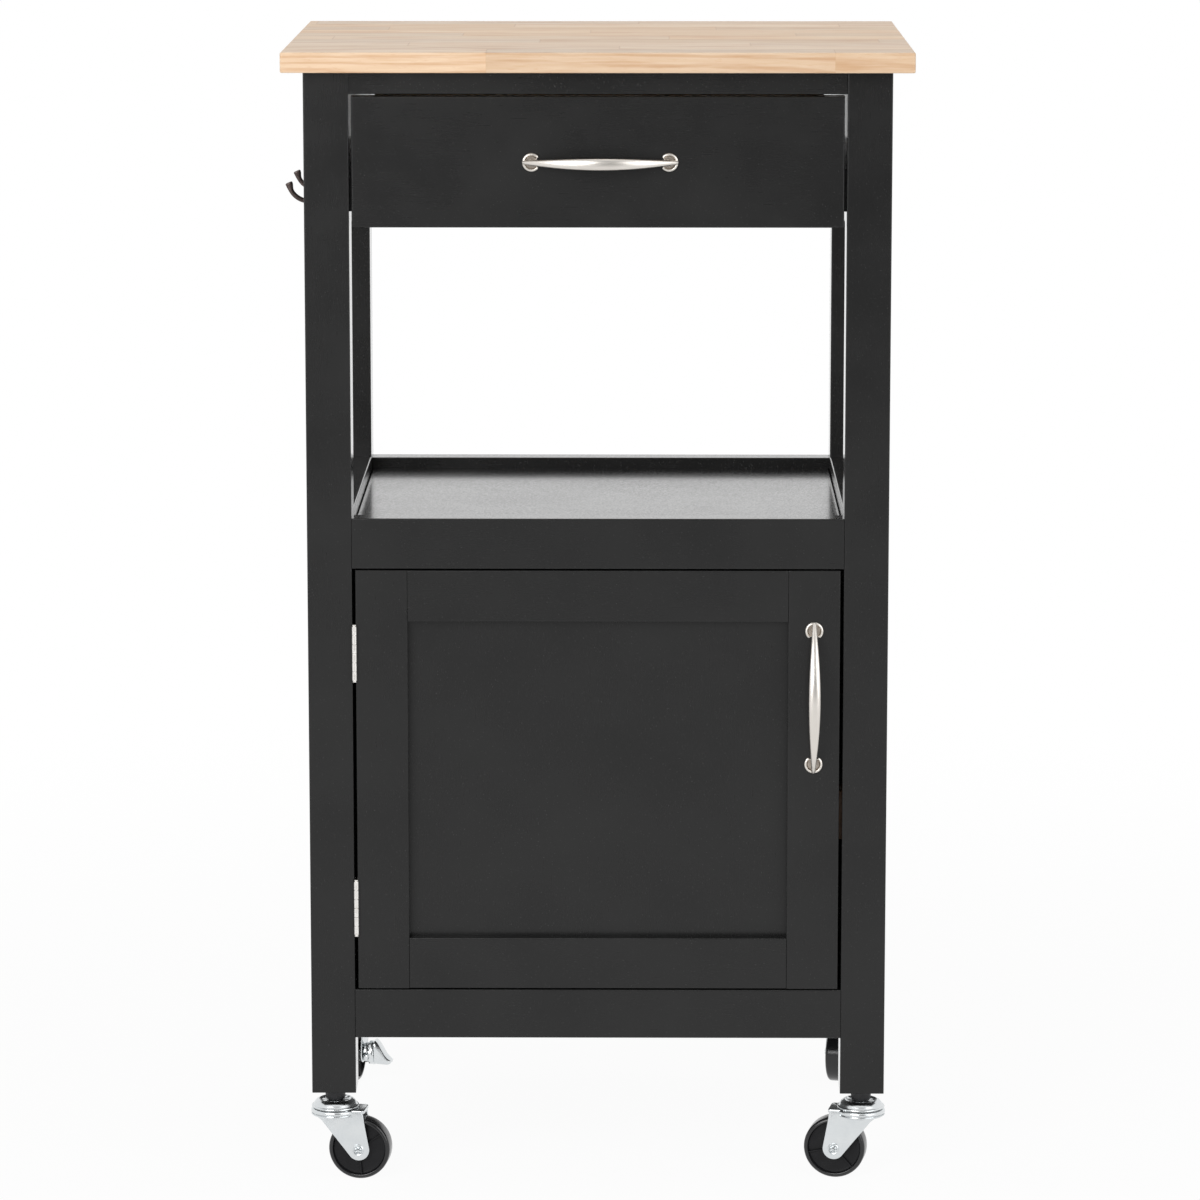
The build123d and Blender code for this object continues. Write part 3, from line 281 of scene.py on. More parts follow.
def lacqueredStaves(name):
    # rubberwood staves glued edge to edge under a clear satin lacquer: warm, with short pores and a joint here
    # and there
    material, tree, shader, place = startMaterial(name, **{"IOR": 1.45, "Coat Weight": 0.15, "Coat Roughness": 0.2})
    inMm = addNode(tree, "ShaderNodeVectorMath", {1: (1000, 1000, 1000)}, {0: place}, operation="MULTIPLY")
    x, y, z = addNode(tree, "ShaderNodeSeparateXYZ", links={"Vector": inMm.outputs[0]}).outputs
    width, length = worktop["staveWidth"], worktop["staveLength"]
    rows = sums(tree, "DIVIDE", y, width)
    row = sums(tree, "FLOOR", rows)
    # each row of staves starts 0.618 of a stave further along, and the front row has its joint where it is seen
    start = worktop["firstShift"] + worktop["firstJoint"] / length
    shift = sums(tree, "FRACT", sums(tree, "MULTIPLY_ADD", row, worktop["rowShift"], start))
    run = sums(tree, "ADD", sums(tree, "DIVIDE", x, length), shift)
    stave = addNode(tree, "ShaderNodeCombineXYZ", links={"X": row, "Y": sums(tree, "FLOOR", run)}).outputs[0]
    chance = addNode(tree, "ShaderNodeTexWhiteNoise", links={"Vector": stave}, noise_dimensions="2D")
    red, green, blue = addNode(tree, "ShaderNodeSeparateColor", links={"Color": chance.outputs["Color"]}).outputs
    # growth rings round a pith that lies somewhere under each stave
    inRow = sums(tree, "SUBTRACT", sums(tree, "FRACT", rows), 0.5)
    aside, (near, far) = worktop["pithAside"], worktop["pithDepth"]
    across = sums(tree, "MULTIPLY_ADD", red, aside, sums(tree, "MULTIPLY_ADD", inRow, width, -aside / 2))
    depth = sums(tree, "ADD", sums(tree, "SUBTRACT", z, worktop["boardHeight"]),
                 sums(tree, "MULTIPLY_ADD", green, far - near, near))
    wander = noise(tree, stretched(tree, place, (0.16, 1.0, 1.0)), worktop["wanderPitch"], 3.0)
    away = addNode(tree, "ShaderNodeCombineXYZ", links={"X": across, "Y": depth}).outputs[0]
    radius = addNode(tree, "ShaderNodeVectorMath", links={0: away}, operation="LENGTH").outputs["Value"]
    rings = sums(tree, "ADD", sums(tree, "DIVIDE", radius, worktop["ringPitch"]),
                 sums(tree, "MULTIPLY", wander, worktop["ringWander"]))
    wave = sums(tree, "MULTIPLY_ADD", sums(tree, "SINE", sums(tree, "MULTIPLY", rings, math.tau)), 0.5, 0.5)
    late = addNode(tree, "ShaderNodeMapRange", {"From Min": 0.35, "From Max": 1.0, "To Min": 0.0, "To Max": 0.75},
                   {"Value": wave}, interpolation_type="SMOOTHSTEP").outputs["Result"]
    streak = noise(tree, stretched(tree, place, (0.05, 1.0, 1.0)), worktop["streakPitch"], 4.0, 0.6)
    pore = noise(tree, stretched(tree, place, (0.09, 1.0, 1.0)), worktop["porePitch"], 2.0)
    body = blended(tree, spread(tree, streak, 0.0, 1.0, 0.35, 0.68), worktop["pale"], worktop["mid"])
    body = blended(tree, sums(tree, "MULTIPLY", late, spread(tree, streak, 0.25, 1.0)), body, worktop["dark"])
    tone = addNode(tree, "ShaderNodeHueSaturation", links={
        "Color": body, "Saturation": spread(tree, blue, 0.86, 1.08, 0.0, 1.0),
        "Value": spread(tree, green, 0.9, 1.06, 0.0, 1.0)}).outputs[0]
    body = blended(tree, spread(tree, pore, 0.0, 0.35, 0.62, 0.74), tone, worktop["dark"])
    # thin glue lines where staves meet
    edge = sums(tree, "MULTIPLY", sums(tree, "SUBTRACT", 0.5, sums(tree, "ABSOLUTE", inRow)), width)
    end = sums(tree, "MULTIPLY", sums(tree, "PINGPONG", run, 0.5), length)
    glue = sums(tree, "MAXIMUM", spread(tree, edge, 0.7, 0.0, 0.15, 0.45), spread(tree, end, 0.9, 0.0, 0.3, 0.75))
    body = blended(tree, sums(tree, "MULTIPLY", glue, worktop["glueShare"]), body, worktop["joint"])
    tree.links.new(body, shader.inputs["Base Color"])
    tree.links.new(spread(tree, streak, 0.42, 0.52), shader.inputs["Roughness"])
    sunk = sums(tree, "ADD", sums(tree, "MULTIPLY", glue, 0.5), spread(tree, pore, 0.0, 0.4, 0.62, 0.74))
    relief(tree, shader, sums(tree, "SUBTRACT", sums(tree, "MULTIPLY", streak, 0.4), sunk), worktop["depth"])
    return material


bareWoods = {
    "sandedPoplar": {"pale": "#E6D0AA", "dark": "#C7A274", "along": "y", "pitch": 3.2, "reach": 90,
                     "roughness": (0.5, 0.64), "depth": 0.05},
    "sandedPlywood": {"pale": "#E4CBA0", "dark": "#CFAE7E", "along": "x", "pitch": 5.5, "reach": 160,
                      "roughness": (0.5, 0.62), "depth": 0.05},
}


def bareWood(name, wood):
    # sanded and left bare inside the drawer: dull, with soft long grain
    material, tree, shader, place = startMaterial(name, **{"IOR": 1.48})
    long = stretched(tree, place, drawnOut(wood["along"], wood["pitch"] / wood["reach"]))
    broad = noise(tree, long, wood["pitch"] * 4, 3.0, 0.5, 0.6)
    fine = noise(tree, long, wood["pitch"] / 3, 3.0, 0.6)
    share = sums(tree, "MULTIPLY_ADD", spread(tree, fine, 0.0, 0.4), 1.0, spread(tree, broad, 0.0, 0.6))
    tree.links.new(blended(tree, share, wood["pale"], wood["dark"]), shader.inputs["Base Color"])
    tree.links.new(spread(tree, fine, *wood["roughness"]), shader.inputs["Roughness"])
    relief(tree, shader, fine, wood["depth"])
    return material


metals = {
    # plated and passivated, slightly blue, with a soft spangle
    "brightZinc": {"colour": "#DDE0E1", "dull": "#D5D9DB", "roughness": (0.2, 0.235), "blotch": 14.0,
                   "scratch": 0.01, "depth": 0.0006},
    # brushed along the handle before plating: warm and soft
    "satinNickel": {"colour": "#E2DDD7", "dull": "#D9D4CD", "roughness": (0.3, 0.32), "blotch": 24.0,
                    "scratch": 0.006, "depth": 0.0002},
    # the hollow of the handle's end discs: satin nickel made darker as painted shade, standing for the shade that
    # the bar and the deep dish throw there
    "nickelWithPaintedShade": {"colour": "#B5ACA2", "dull": "#988F86", "roughness": (0.26, 0.34), "blotch": 6.0,
                     "scratch": 0.01, "depth": 0.001},
    # nickel left as it was plated, on the rolled steel of the hinges: nearly white, with no clear mirror
    "dullNickel": {"colour": "#F1EFEC", "dull": "#DCD9D4", "roughness": (0.26, 0.32), "blotch": 5.0,
                   "scratch": 0.02, "depth": 0.002},
}
brushing = {"stretch": 0.02, "pitch": 0.5, "plainPitch": 1.6}


def platedMetal(name, metal, along=None):
    material, tree, shader, place = startMaterial(name, **{"Metallic": 1.0})
    blotch = noise(tree, place, metal["blotch"], 3.0)
    body = blended(tree, spread(tree, blotch, 0.0, 1.0), metal["colour"], metal["dull"])
    tree.links.new(body, shader.inputs["Base Color"])
    pitch = brushing["pitch" if along else "plainPitch"]
    scratch = noise(tree, stretched(tree, place, drawnOut(along, brushing["stretch"])), pitch, 3.0, 0.6)
    sheen = sums(tree, "ADD", spread(tree, blotch, *metal["roughness"]),
                 spread(tree, scratch, -metal["scratch"], metal["scratch"]))
    tree.links.new(sheen, shader.inputs["Roughness"])
    relief(tree, shader, scratch, metal["depth"])
    return material


plastics = {
    # injection-moulded nylon sleeve, dull and a little grey
    "mouldedNylon": {"colour": "#232325", "worn": "#2F2F31", "roughness": (0.42, 0.55), "pitch": 0.8,
                     "depth": 0.02, "shine": 0.5},
    # moulded polypropylene: polished on the rim and tread, finely grained on the web between the ribs
    "wheelPolypropylene": {"colour": "#131315", "worn": "#1A1A1C", "roughness": (0.16, 0.24), "pitch": 2.2,
                           "depth": 0.004, "shine": 0.55},
    "webPolypropylene": {"colour": "#121214", "worn": "#1B1B1D", "roughness": (0.34, 0.44), "pitch": 0.7,
                         "depth": 0.012, "shine": 0.2},
    # brown moulded ABS body of a cupboard catch
    "catchBrownAbs": {"colour": "#7A5233", "worn": "#8A6242", "roughness": (0.38, 0.5), "pitch": 0.7,
                      "depth": 0.015, "shine": 0.5},
    # black epoxy coat on the drawer slides
    "blackEpoxy": {"colour": "#1C1C1E", "worn": "#303032", "roughness": (0.34, 0.46), "pitch": 1.2,
                   "depth": 0.015, "shine": 0.5},
}
wearPitch = 12  # mm across one worn patch


def mouldedPlastic(name, plastic):
    material, tree, shader, place = startMaterial(name, **{"IOR": 1.49, "Specular IOR Level": plastic["shine"]})
    grain = noise(tree, place, plastic["pitch"], 2.0)
    cloud = noise(tree, place, wearPitch, 3.0)
    body = blended(tree, spread(tree, cloud, 0.0, 1.0), plastic["colour"], plastic["worn"])
    tree.links.new(body, shader.inputs["Base Color"])
    tree.links.new(spread(tree, cloud, *plastic["roughness"]), shader.inputs["Roughness"])
    relief(tree, shader, grain, plastic["depth"])
    return material


bronze = {
    "colour": "#554B49", "rubbed": "#75675F", "dark": "#3A3231", "roughness": (0.26, 0.36), "cloudPitch": 7,
    "rubPitch": 0.9, "depth": 0.004,
}


def rubbedBronze(name):
    # dark bronze plating on cast zinc, rubbed lighter in places: brown in the light, black at the edges
    material, tree, shader, place = startMaterial(name, **{"Metallic": 0.85})
    cloud = noise(tree, place, bronze["cloudPitch"], 3.0)
    fine = noise(tree, place, bronze["rubPitch"], 2.0)
    body = blended(tree, spread(tree, cloud, 0.0, 1.0), bronze["dark"], bronze["colour"])
    body = blended(tree, spread(tree, fine, 0.0, 0.6, 0.45, 0.8), body, bronze["rubbed"])
    tree.links.new(body, shader.inputs["Base Color"])
    tree.links.new(spread(tree, cloud, *bronze["roughness"]), shader.inputs["Roughness"])
    relief(tree, shader, fine, bronze["depth"])
    return material


lacquerX = satinLacquer("satinLacquerAlongX", "x")
lacquerY = satinLacquer("satinLacquerAlongY", "y")
lacquerZ = satinLacquer("satinLacquerUpright", "z")
staves = lacqueredStaves("lacqueredRubberwoodStaves")
poplar = bareWood("sandedPoplar", bareWoods["sandedPoplar"])
plywood = bareWood("sandedPlywood", bareWoods["sandedPlywood"])
zinc = platedMetal("brightZincPlate", metals["brightZinc"])
nickelAcross = platedMetal("satinNickelAcross", metals["satinNickel"], "x")
nickelUpright = platedMetal("satinNickelUpright", metals["satinNickel"], "z")
paintedShadeNickel = platedMetal("satinNickelPaintedShade", metals["nickelWithPaintedShade"])
hingeNickel = platedMetal("dullNickelPlate", metals["dullNickel"], "z")
nylon = mouldedPlastic("mouldedNylon", plastics["mouldedNylon"])
wheelPlastic = mouldedPlastic("polishedPolypropylene", plastics["wheelPolypropylene"])
webPlastic = mouldedPlastic("grainedPolypropylene", plastics["webPolypropylene"])
catchPlastic = mouldedPlastic("mouldedBrownAbs", plastics["catchBrownAbs"])
epoxy = mouldedPlastic("blackEpoxyCoat", plastics["blackEpoxy"])
bronzePlate = rubbedBronze("rubbedBronzePlate")
print("finishes made")


# the frame's own boards and fittings keep their shape and get their finish

boardFinishes = {
    "top_panel": staves,
    "front_left_leg": lacquerZ, "front_right_leg": lacquerZ, "rear_left_leg": lacquerZ, "rear_right_leg": lacquerZ,
    "front_top_rail": lacquerX, "rear_top_rail": lacquerX, "left_apron": lacquerY, "right_apron": lacquerY,
    "front_mid_rail": lacquerX, "rear_mid_rail": lacquerX,
    "front_bottom_rail": lacquerX, "rear_bottom_rail": lacquerX,
    "left_side_panel": lacquerY, "right_side_panel": lacquerY, "back_panel": lacquerX,
    "shelf_board": lacquerX, "cabinet_floor": lacquerX, "shelf_cleats": lacquerY,
    "drawer_front": lacquerX, "drawer_left_side": poplar, "drawer_right_side": poplar, "drawer_back": plywood,
    "drawer_bottom": plywood,
    "door_hinge_stile": lacquerZ, "door_latch_stile": lacquerZ, "door_top_rail": lacquerX,
    "door_bottom_rail": lacquerX, "door_panel": lacquerZ,
    "slide_rails": epoxy, "slide_runners": epoxy,
    "hinge_frame_leaves": hingeNickel, "hinge_door_leaves": hingeNickel, "hinge_pins": hingeNickel,
    "magnetic_catch": catchPlastic, "strike_plate": zinc,
    "frame_screws": zinc, "drawer_handle_screws": zinc, "drawer_runner_screws": zinc, "door_handle_screws": zinc,
    "door_screws": hingeNickel,
}
for name, finish in boardFinishes.items():
    for slot in nodes[name].material_slots:
        slot.material = finish
    if not nodes[name].material_slots:
        nodes[name].data.materials.append(finish)
print("boards finished:", len(boardFinishes))


# tools for the new pieces, all in millimetres until the piece is placed

def axesTo(x, y, z):
    # the turn that carries X, Y and Z to three given directions
    return Matrix((x, y, z)).transposed().to_4x4()


def offsetFrom(across, up, steps):
    return [(across + dx, up + dz) for dx, dz in steps]


def madeSince(bm, before):
    return [v for v in bm.verts if v not in before]


def spinProfile(bm, profile, steps=64, place=Matrix(), closed=False):
    # turns a half section, as radius and height, round Z
    before = set(bm.verts)
    corners = [bm.verts.new((r, 0, z)) for r, z in profile]
    pairs = list(zip(corners, corners[1:])) + ([(corners[-1], corners[0])] if closed else [])
    edges = [bm.edges.new(pair) for pair in pairs]
    bmesh.ops.spin(bm, geom=corners + edges, cent=(0, 0, 0), axis=(0, 0, 1), dvec=(0, 0, 0), angle=math.tau,
                   steps=steps, use_merge=True, use_duplicate=False)
    bmesh.ops.remove_doubles(bm, verts=madeSince(bm, before), dist=0.0005)
    made = madeSince(bm, before)
    bmesh.ops.transform(bm, matrix=place, verts=made)
    return made


def ringAt(bm, place, width, thickness, squareness=1.0, segments=28):
    # one cross section of a bar: an oval, or with squareness under 1 nearer to a rounded rectangle
    ring = bmesh.ops.create_circle(bm, cap_ends=False, segments=segments, radius=1.0)["verts"]
    for v in ring:
        v.co.x = math.copysign(abs(v.co.x) ** squareness, v.co.x) * width / 2
        v.co.y = math.copysign(abs(v.co.y) ** squareness, v.co.y) * thickness / 2
    bmesh.ops.transform(bm, matrix=place, verts=ring)
    return list({e for v in ring for e in v.link_edges})


def skinBar(bm, rings, endRound=0.0):
    # joins the cross sections in turn and closes both ends
    for ringA, ringB in zip(rings, rings[1:]):
        bmesh.ops.bridge_loops(bm, edges=ringA + ringB)
    for ring in (rings[0], rings[-1]):
        bmesh.ops.contextual_create(bm, geom=ring)
    if endRound:
        bmesh.ops.bevel(bm, geom=rings[0] + rings[-1], offset=endRound, offset_type="OFFSET", segments=3,
                        profile=0.5, affect="EDGES", material=-1)


def thicken(bm, faces, height):
    raised = bmesh.ops.extrude_face_region(bm, geom=faces, use_keep_orig=True)["geom"]
    top = [part for part in raised if isinstance(part, bmesh.types.BMVert)]
    bmesh.ops.translate(bm, verts=top, vec=(0, 0, height))


def easeRims(bm, made, radius, segments):
    # bevels the sharp edges round the two faces of a flat plate
    rims = [e for e in {e for v in made for e in v.link_edges} if abs(e.verts[0].co.z - e.verts[1].co.z) < 1e-6
            and len(e.link_faces) == 2 and e.calc_face_angle(0) > 1.0]
    bmesh.ops.bevel(bm, geom=rims, offset=radius, offset_type="OFFSET", segments=segments, profile=0.5,
                    affect="EDGES", material=-1)


def roundedSlab(bm, corners, thickness, rimRound, cornerRounds=None, place=Matrix()):
    # a flat plate from its outline in X and Y, standing up from Z = 0, its corners and rims eased
    before = set(bm.verts)
    outline = [bm.verts.new((x, y, 0)) for x, y in corners]
    bm.faces.new(outline)
    for corner, radius in (cornerRounds or {}).items():
        bmesh.ops.bevel(bm, geom=[outline[corner]], offset=radius, offset_type="OFFSET", segments=6, profile=0.5,
                        affect="VERTICES", material=-1)
    made = madeSince(bm, before)
    thicken(bm, [f for f in bm.faces if all(v in made for v in f.verts)], thickness)
    easeRims(bm, madeSince(bm, before), rimRound, 2)
    bmesh.ops.transform(bm, matrix=place, verts=madeSince(bm, before))


def finishPiece(name, bm, material, body, replaced=(), place=Matrix(), creaseAngle=38, second=None):
    bmesh.ops.transform(bm, matrix=Matrix.Scale(mm, 4) @ place, verts=bm.verts)
    bmesh.ops.recalc_face_normals(bm, faces=bm.faces)
    mesh = bpy.data.meshes.new(name)
    bm.to_mesh(mesh)
    bm.free()
    mesh.shade_smooth()
    mesh.set_sharp_from_angle(angle=math.radians(creaseAngle))
    mesh.materials.append(material)
    if second:
        mesh.materials.append(second)
    piece = bpy.data.objects.new(name, mesh)
    bpy.context.scene.collection.objects.link(piece)
    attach(piece, body)
    if replaced:
        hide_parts(*replaced)
    return piece


# the two arched handles

handleSizes = {
    "spacing": 108.0, "overrun": 6.4, "rise": 21.6, "endRise": 1.5, "bellyWidth": 9.6, "bellyThickness": 5.6,
    "neckWidth": 3.4, "neckThickness": 3.6, "fullness": 1.15, "squareness": 0.86, "endRound": 0.5, "stations": 40,
    "rosette": 14.6, "rosetteThickness": 2.8, "dish": 2.0, "rim": 1.9, "hollow": 2.8, "post": 4.6,
    "rimShape": [(0, -1.0), (-0.12, -0.6), (-0.45, -0.3), (-0.85, -0.1), (-1.25, 0), (-1.6, -0.08), (-1.9, -0.35)],
    "mouthAngle": 42, "mouthEdge": 14, "mouthDepth": 2.8,
}


def archedHandle(name, material, body, replaced, place):
    size = handleSizes
    half = size["spacing"] / 2 + size["overrun"]
    rise = size["rise"] - size["endRise"]
    radius = (half * half + rise * rise) / (2 * rise)
    endAngle = math.asin(half / radius)
    bm = bmesh.new()
    rings = []
    for step in range(size["stations"] + 1):
        angle = endAngle * (2 * step / size["stations"] - 1)
        sine, cosine = math.sin(angle), math.cos(angle)
        fullness = max(math.cos(angle / endAngle * math.pi / 2), 0.0) ** size["fullness"]
        width = size["neckWidth"] + (size["bellyWidth"] - size["neckWidth"]) * fullness
        thickness = size["neckThickness"] + (size["bellyThickness"] - size["neckThickness"]) * fullness
        spot = Matrix.Translation((radius * sine, 0, size["rise"] - radius + radius * cosine))
        # the section's width lies along Y and its thickness stands square to the arc
        turn = axesTo((0, 1, 0), (sine, 0, cosine), (cosine, 0, -sine))
        rings.append(ringAt(bm, spot @ turn, width, thickness, size["squareness"]))
    skinBar(bm, rings, size["endRound"])
    # the ends are cut flat where they meet the front
    bmesh.ops.bisect_plane(bm, geom=bm.verts[:] + bm.edges[:] + bm.faces[:], plane_co=(0, 0, 0.05),
                           plane_no=(0, 0, -1), clear_outer=True)
    bmesh.ops.holes_fill(bm, edges=bm.edges[:], sides=0)
    rim, top, dish = size["rosette"] / 2, size["rosetteThickness"], size["rosetteThickness"] - size["dish"]
    profile = [(0, 0), (rim, 0)] + offsetFrom(rim, top, size["rimShape"])
    profile += [(rim - size["hollow"] + 0.5, dish + 0.4), (rim - size["hollow"], dish), (0, dish)]
    screwAngle = math.asin(size["spacing"] / 2 / radius)
    postTop = size["rise"] - radius + radius * math.cos(screwAngle)
    post = size["post"] / 2
    postProfile = [(0, dish - 0.4), (post + 0.4, dish - 0.3), (post, dish + 0.5), (post - 0.6, postTop - 1.5),
                   (0, postTop)]
    for x in (-size["spacing"] / 2, size["spacing"] / 2):
        disc = set(spinProfile(bm, profile, 56, Matrix.Translation((x, 0, 0))))
        # faces inside the rim take the second finish, the darker nickel that is painted shade in the dish's hollow
        for face in bm.faces:
            spot = face.calc_center_median()
            inside = math.hypot(spot.x - x, spot.y) < rim - size["rim"] and spot.z > 0.1
            if inside and disc.issuperset(face.verts):
                face.material_index = 1
        # the rim opens in a mouth where the bar leaves it, towards the handle's middle
        for v in disc:
            dx, dy = v.co.x - x, v.co.y
            if math.hypot(dx, dy) > rim - size["rim"] - 1.0:
                turned = math.degrees(abs(math.atan2(dy, -dx if x > 0 else dx)))
                share = min(max((size["mouthAngle"] - turned) / size["mouthEdge"], 0.0), 1.0)
                closer = 1 - share * share * (3 - 2 * share) * size["mouthDepth"] / rim
                v.co.x, v.co.y = x + dx * closer, dy * closer
        spinProfile(bm, postProfile, 32, Matrix.Translation((x, 0, 0)))
    finishPiece(name, bm, material, body, (replaced,), place, second=paintedShadeNickel)


outOfFront = Matrix.Rotation(math.radians(90), 4, "X")
quarterTurn = Matrix.Rotation(math.radians(90), 4, "Z")


def middleOf(node):
    low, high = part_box(node)
    return (Vector(low) + Vector(high)) / 2 / mm


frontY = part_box("drawer_front")[0][1] / mm
spot = middleOf("drawer_handle")
archedHandle("archedDrawerHandle", nickelAcross, "drawer", "drawer_handle",
             Matrix.Translation((spot.x, frontY, spot.z)) @ outOfFront)
spot = middleOf("door_handle")
archedHandle("archedDoorHandle", nickelUpright, "door", "door_handle",
             Matrix.Translation((spot.x, frontY, spot.z)) @ outOfFront @ quarterTurn)
print("handles made")


# towel hooks on the left apron

hookSizes = {
    "spacing": 104.0, "plateWidth": 13.0, "plateHeight": 32.0, "plateThickness": 2.1, "plateBase": 782.5,
    "cornerRound": 4.6, "rimRound": 0.6, "armWidth": 7.0, "armThickness": 3.7, "rootStart": 1.2,
    "rootHeight": 791.0, "bendHeight": 784.4, "bendReach": 20.8, "bendRadius": 16.5, "bendAngle": 57.0,
    "tipAngle": 66.0, "tipLength": 8.0, "tipThickness": 5.8, "squareness": 0.5, "endRound": 0.9, "steps": 12,
    "tipSteps": 8,
}


def towelHook(name, y, apronX):
    size = hookSizes
    dip = size["rootHeight"] - size["bendHeight"]
    run = size["bendReach"] - size["rootStart"]
    rootRadius = (run * run + dip * dip) / (2 * dip)
    rootAngle = math.asin(run / rootRadius)
    bm = bmesh.new()
    half, tall = size["plateWidth"] / 2, size["plateHeight"]
    roundedSlab(bm, [(-half, 0), (half, 0), (half, tall), (-half, tall)], size["plateThickness"], size["rimRound"],
                dict.fromkeys(range(4), size["cornerRound"]),
                Matrix.Translation((0, 0, size["plateBase"])) @ axesTo((0, 1, 0), (0, 0, 1), (1, 0, 0)))
    # stations down the root arc and up the bend, each with its slope and thickness
    steps, bend = size["steps"], math.radians(size["bendAngle"])
    arcs = [(rootRadius, rootAngle * (step / steps - 1)) for step in range(steps + 1)]
    arcs += [(size["bendRadius"], bend * step / steps) for step in range(1, steps + 1)]
    stations = []
    for radius, angle in arcs:
        stations.append((size["bendReach"] + radius * math.sin(angle),
                         size["bendHeight"] + radius * (1 - math.cos(angle)), angle, size["armThickness"]))
    # the tip bends on a little and swells on its inner side only, so that its outer side stays one curve
    x, z = stations[-1][:2]
    steps = size["tipSteps"]
    for step in range(1, steps + 1):
        angle = bend + math.radians(size["tipAngle"] - size["bendAngle"]) * step / steps
        x += size["tipLength"] / steps * math.cos(angle)
        z += size["tipLength"] / steps * math.sin(angle)
        growth = 0.5 - 0.5 * math.cos(math.pi * min(step / steps * 1.2, 1.0))
        swell = (size["tipThickness"] - size["armThickness"]) * growth
        stations.append((x - math.sin(angle) * swell / 2, z + math.cos(angle) * swell / 2, angle,
                         size["armThickness"] + swell))
    rings = []
    for x, z, slope, thickness in stations:
        sine, cosine = math.sin(slope), math.cos(slope)
        turn = axesTo((0, 1, 0), (-sine, 0, cosine), (cosine, 0, sine))
        rings.append(ringAt(bm, Matrix.Translation((x, 0, z)) @ turn, size["armWidth"], thickness,
                            size["squareness"]))
    skinBar(bm, rings, size["endRound"])
    away = Matrix.Translation((apronX, y, 0)) @ Matrix.Rotation(math.pi, 4, "Z")
    return finishPiece(name, bm, bronzePlate, "cart", (), away)


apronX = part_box("left_apron")[0][0] / mm
frontHook = towelHook("frontTowelHook", -hookSizes["spacing"] / 2, apronX)
towelHook("rearTowelHook", hookSizes["spacing"] / 2, apronX)
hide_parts("towel_hooks")
print("hooks made")


# the four casters

casterSizes = {
    "trail": 20.5, "axleHeight": 25.0, "axle": 6.0,
    # the wheel, with a shallow web and ribs on each side
    "wheelRadius": 25.0, "wheelWidth": 17.0, "treadRound": 2.6, "rim": 3.4, "hub": 16.0, "web": 3.2, "ribs": 3,
    "ribWidth": 1.0, "ribHeight": 2.9, "ribSink": 0.6,
    # the fork's arms, with the angles at which their round ends begin and stop
    "forkInner": 9.5, "forkOuter": 11.5, "armFront": 15.2, "armBack": 24.4, "armEnd": 9.0, "armDrop": 1.2,
    "touchFront": 217, "touchBack": 9, "edgeRound": 0.9, "shoulder": 49.6,
    "armHollow": [(0, 52.9), (1.9, 51.8), (5.4, 49.0), (9.4, 44.0)],
    # the fork's plate
    "plate": 39.4, "plateBase": 54.9, "plateTop": 57.7, "tab": 25.4, "tabStart": 10, "skirtBase": 52.4,
    "skirtWall": 2.0, "groove": 53.9, "grooveDepth": 1.3,
    "plateRim": [(0, -1.5), (-0.2, -0.85), (-0.6, -0.35), (-1.2, -0.05), (-1.7, 0), (-2.4, -0.2), (-3.0, -0.6)],
    # the bearing's cap, its stem and the pin under it
    "capBase": 58.7, "capTop": 65.0, "capRim": 38.6, "capCrown": 28.6, "dents": 12, "dentDepth": 0.5,
    "capSide": [(-0.8, 0), (-0.25, 0.15), (0, 0.55), (-0.05, 0.95), (-0.3, 1.3), (-0.7, 1.5), (-1.1, 1.45),
                (-1.4, 1.7), (-2.0, 3.0), (-2.9, 4.3), (-3.9, 5.2)],
    "crownShape": [(0.1, -0.75), (-0.5, -0.2), (-1.2, 0), (-2.0, -0.15), (-2.8, -0.8), (-3.8, -1.1)],
    "stem": 10.0, "stemTop": 108.0, "pin": 8.0, "pinHead": 12.0, "pinHeadTop": 54.5, "pinHeadBase": 51.6,
    # the axle's spread ends
    "head": 9.2, "crimps": 6, "crimpDepth": 1.5,
    "headShape": [(0, 0), (0, 0.5), (-0.25, 0.9), (-0.6, 1.1), (-0.9, 1.0), (-1.05, 0.35), (-1.35, 0.35),
                  (-1.5, 1.2), (-1.9, 1.7), (-2.7, 1.9), (-3.2, 1.8), (-3.7, 1.2), (-4.6, 1.0)],
    # the sleeve in the leg
    "legFoot": 74.0, "socket": 14.0, "socketTop": 112.0, "collarTop": 17.6, "collarBase": 15.0,
}
brakeSizes = {
    "start": 11.85, "hub": 17.6, "hubLength": 5.8, "slotDepth": 3.4, "plate": 20.6, "plateThickness": 5.4,
    "waves": 9, "waveDepth": 1.3, "pedalLength": 13.6, "pedalWidth": 15.0, "pedalOffset": 3.0, "pedalTop": 37.6,
    "pedalBase": 16.4, "pedalEndTop": 21.6, "pedalSquareness": 0.55,
    "pedalStations": (0.0, 0.08, 0.18, 0.3, 0.42, 0.54, 0.66, 0.78, 0.88, 0.95, 0.99, 1.0),
}
casterPlaces = {
    "front_left": {"corner": (-213.25, -158.25), "heading": -7.0, "rib": -85.0, "brake": False},
    "front_right": {"corner": (213.25, -158.25), "heading": 169.0, "rib": -13.0, "brake": False},
    "rear_left": {"corner": (-213.25, 162.25), "heading": -100.0, "rib": 30.0, "brake": True},
    "rear_right": {"corner": (213.25, 162.25), "heading": -104.0, "rib": 75.0, "brake": True},
}
alongAxle = Matrix.Rotation(math.radians(90), 4, "X")
alongY = Matrix.Rotation(math.radians(-90), 4, "X")
standing = axesTo((1, 0, 0), (0, 0, 1), (0, 1, 0))
halfTurn = Matrix.Rotation(math.pi, 4, "X")


def toAxle(size):
    return Matrix.Translation((size["trail"], 0, size["axleHeight"]))


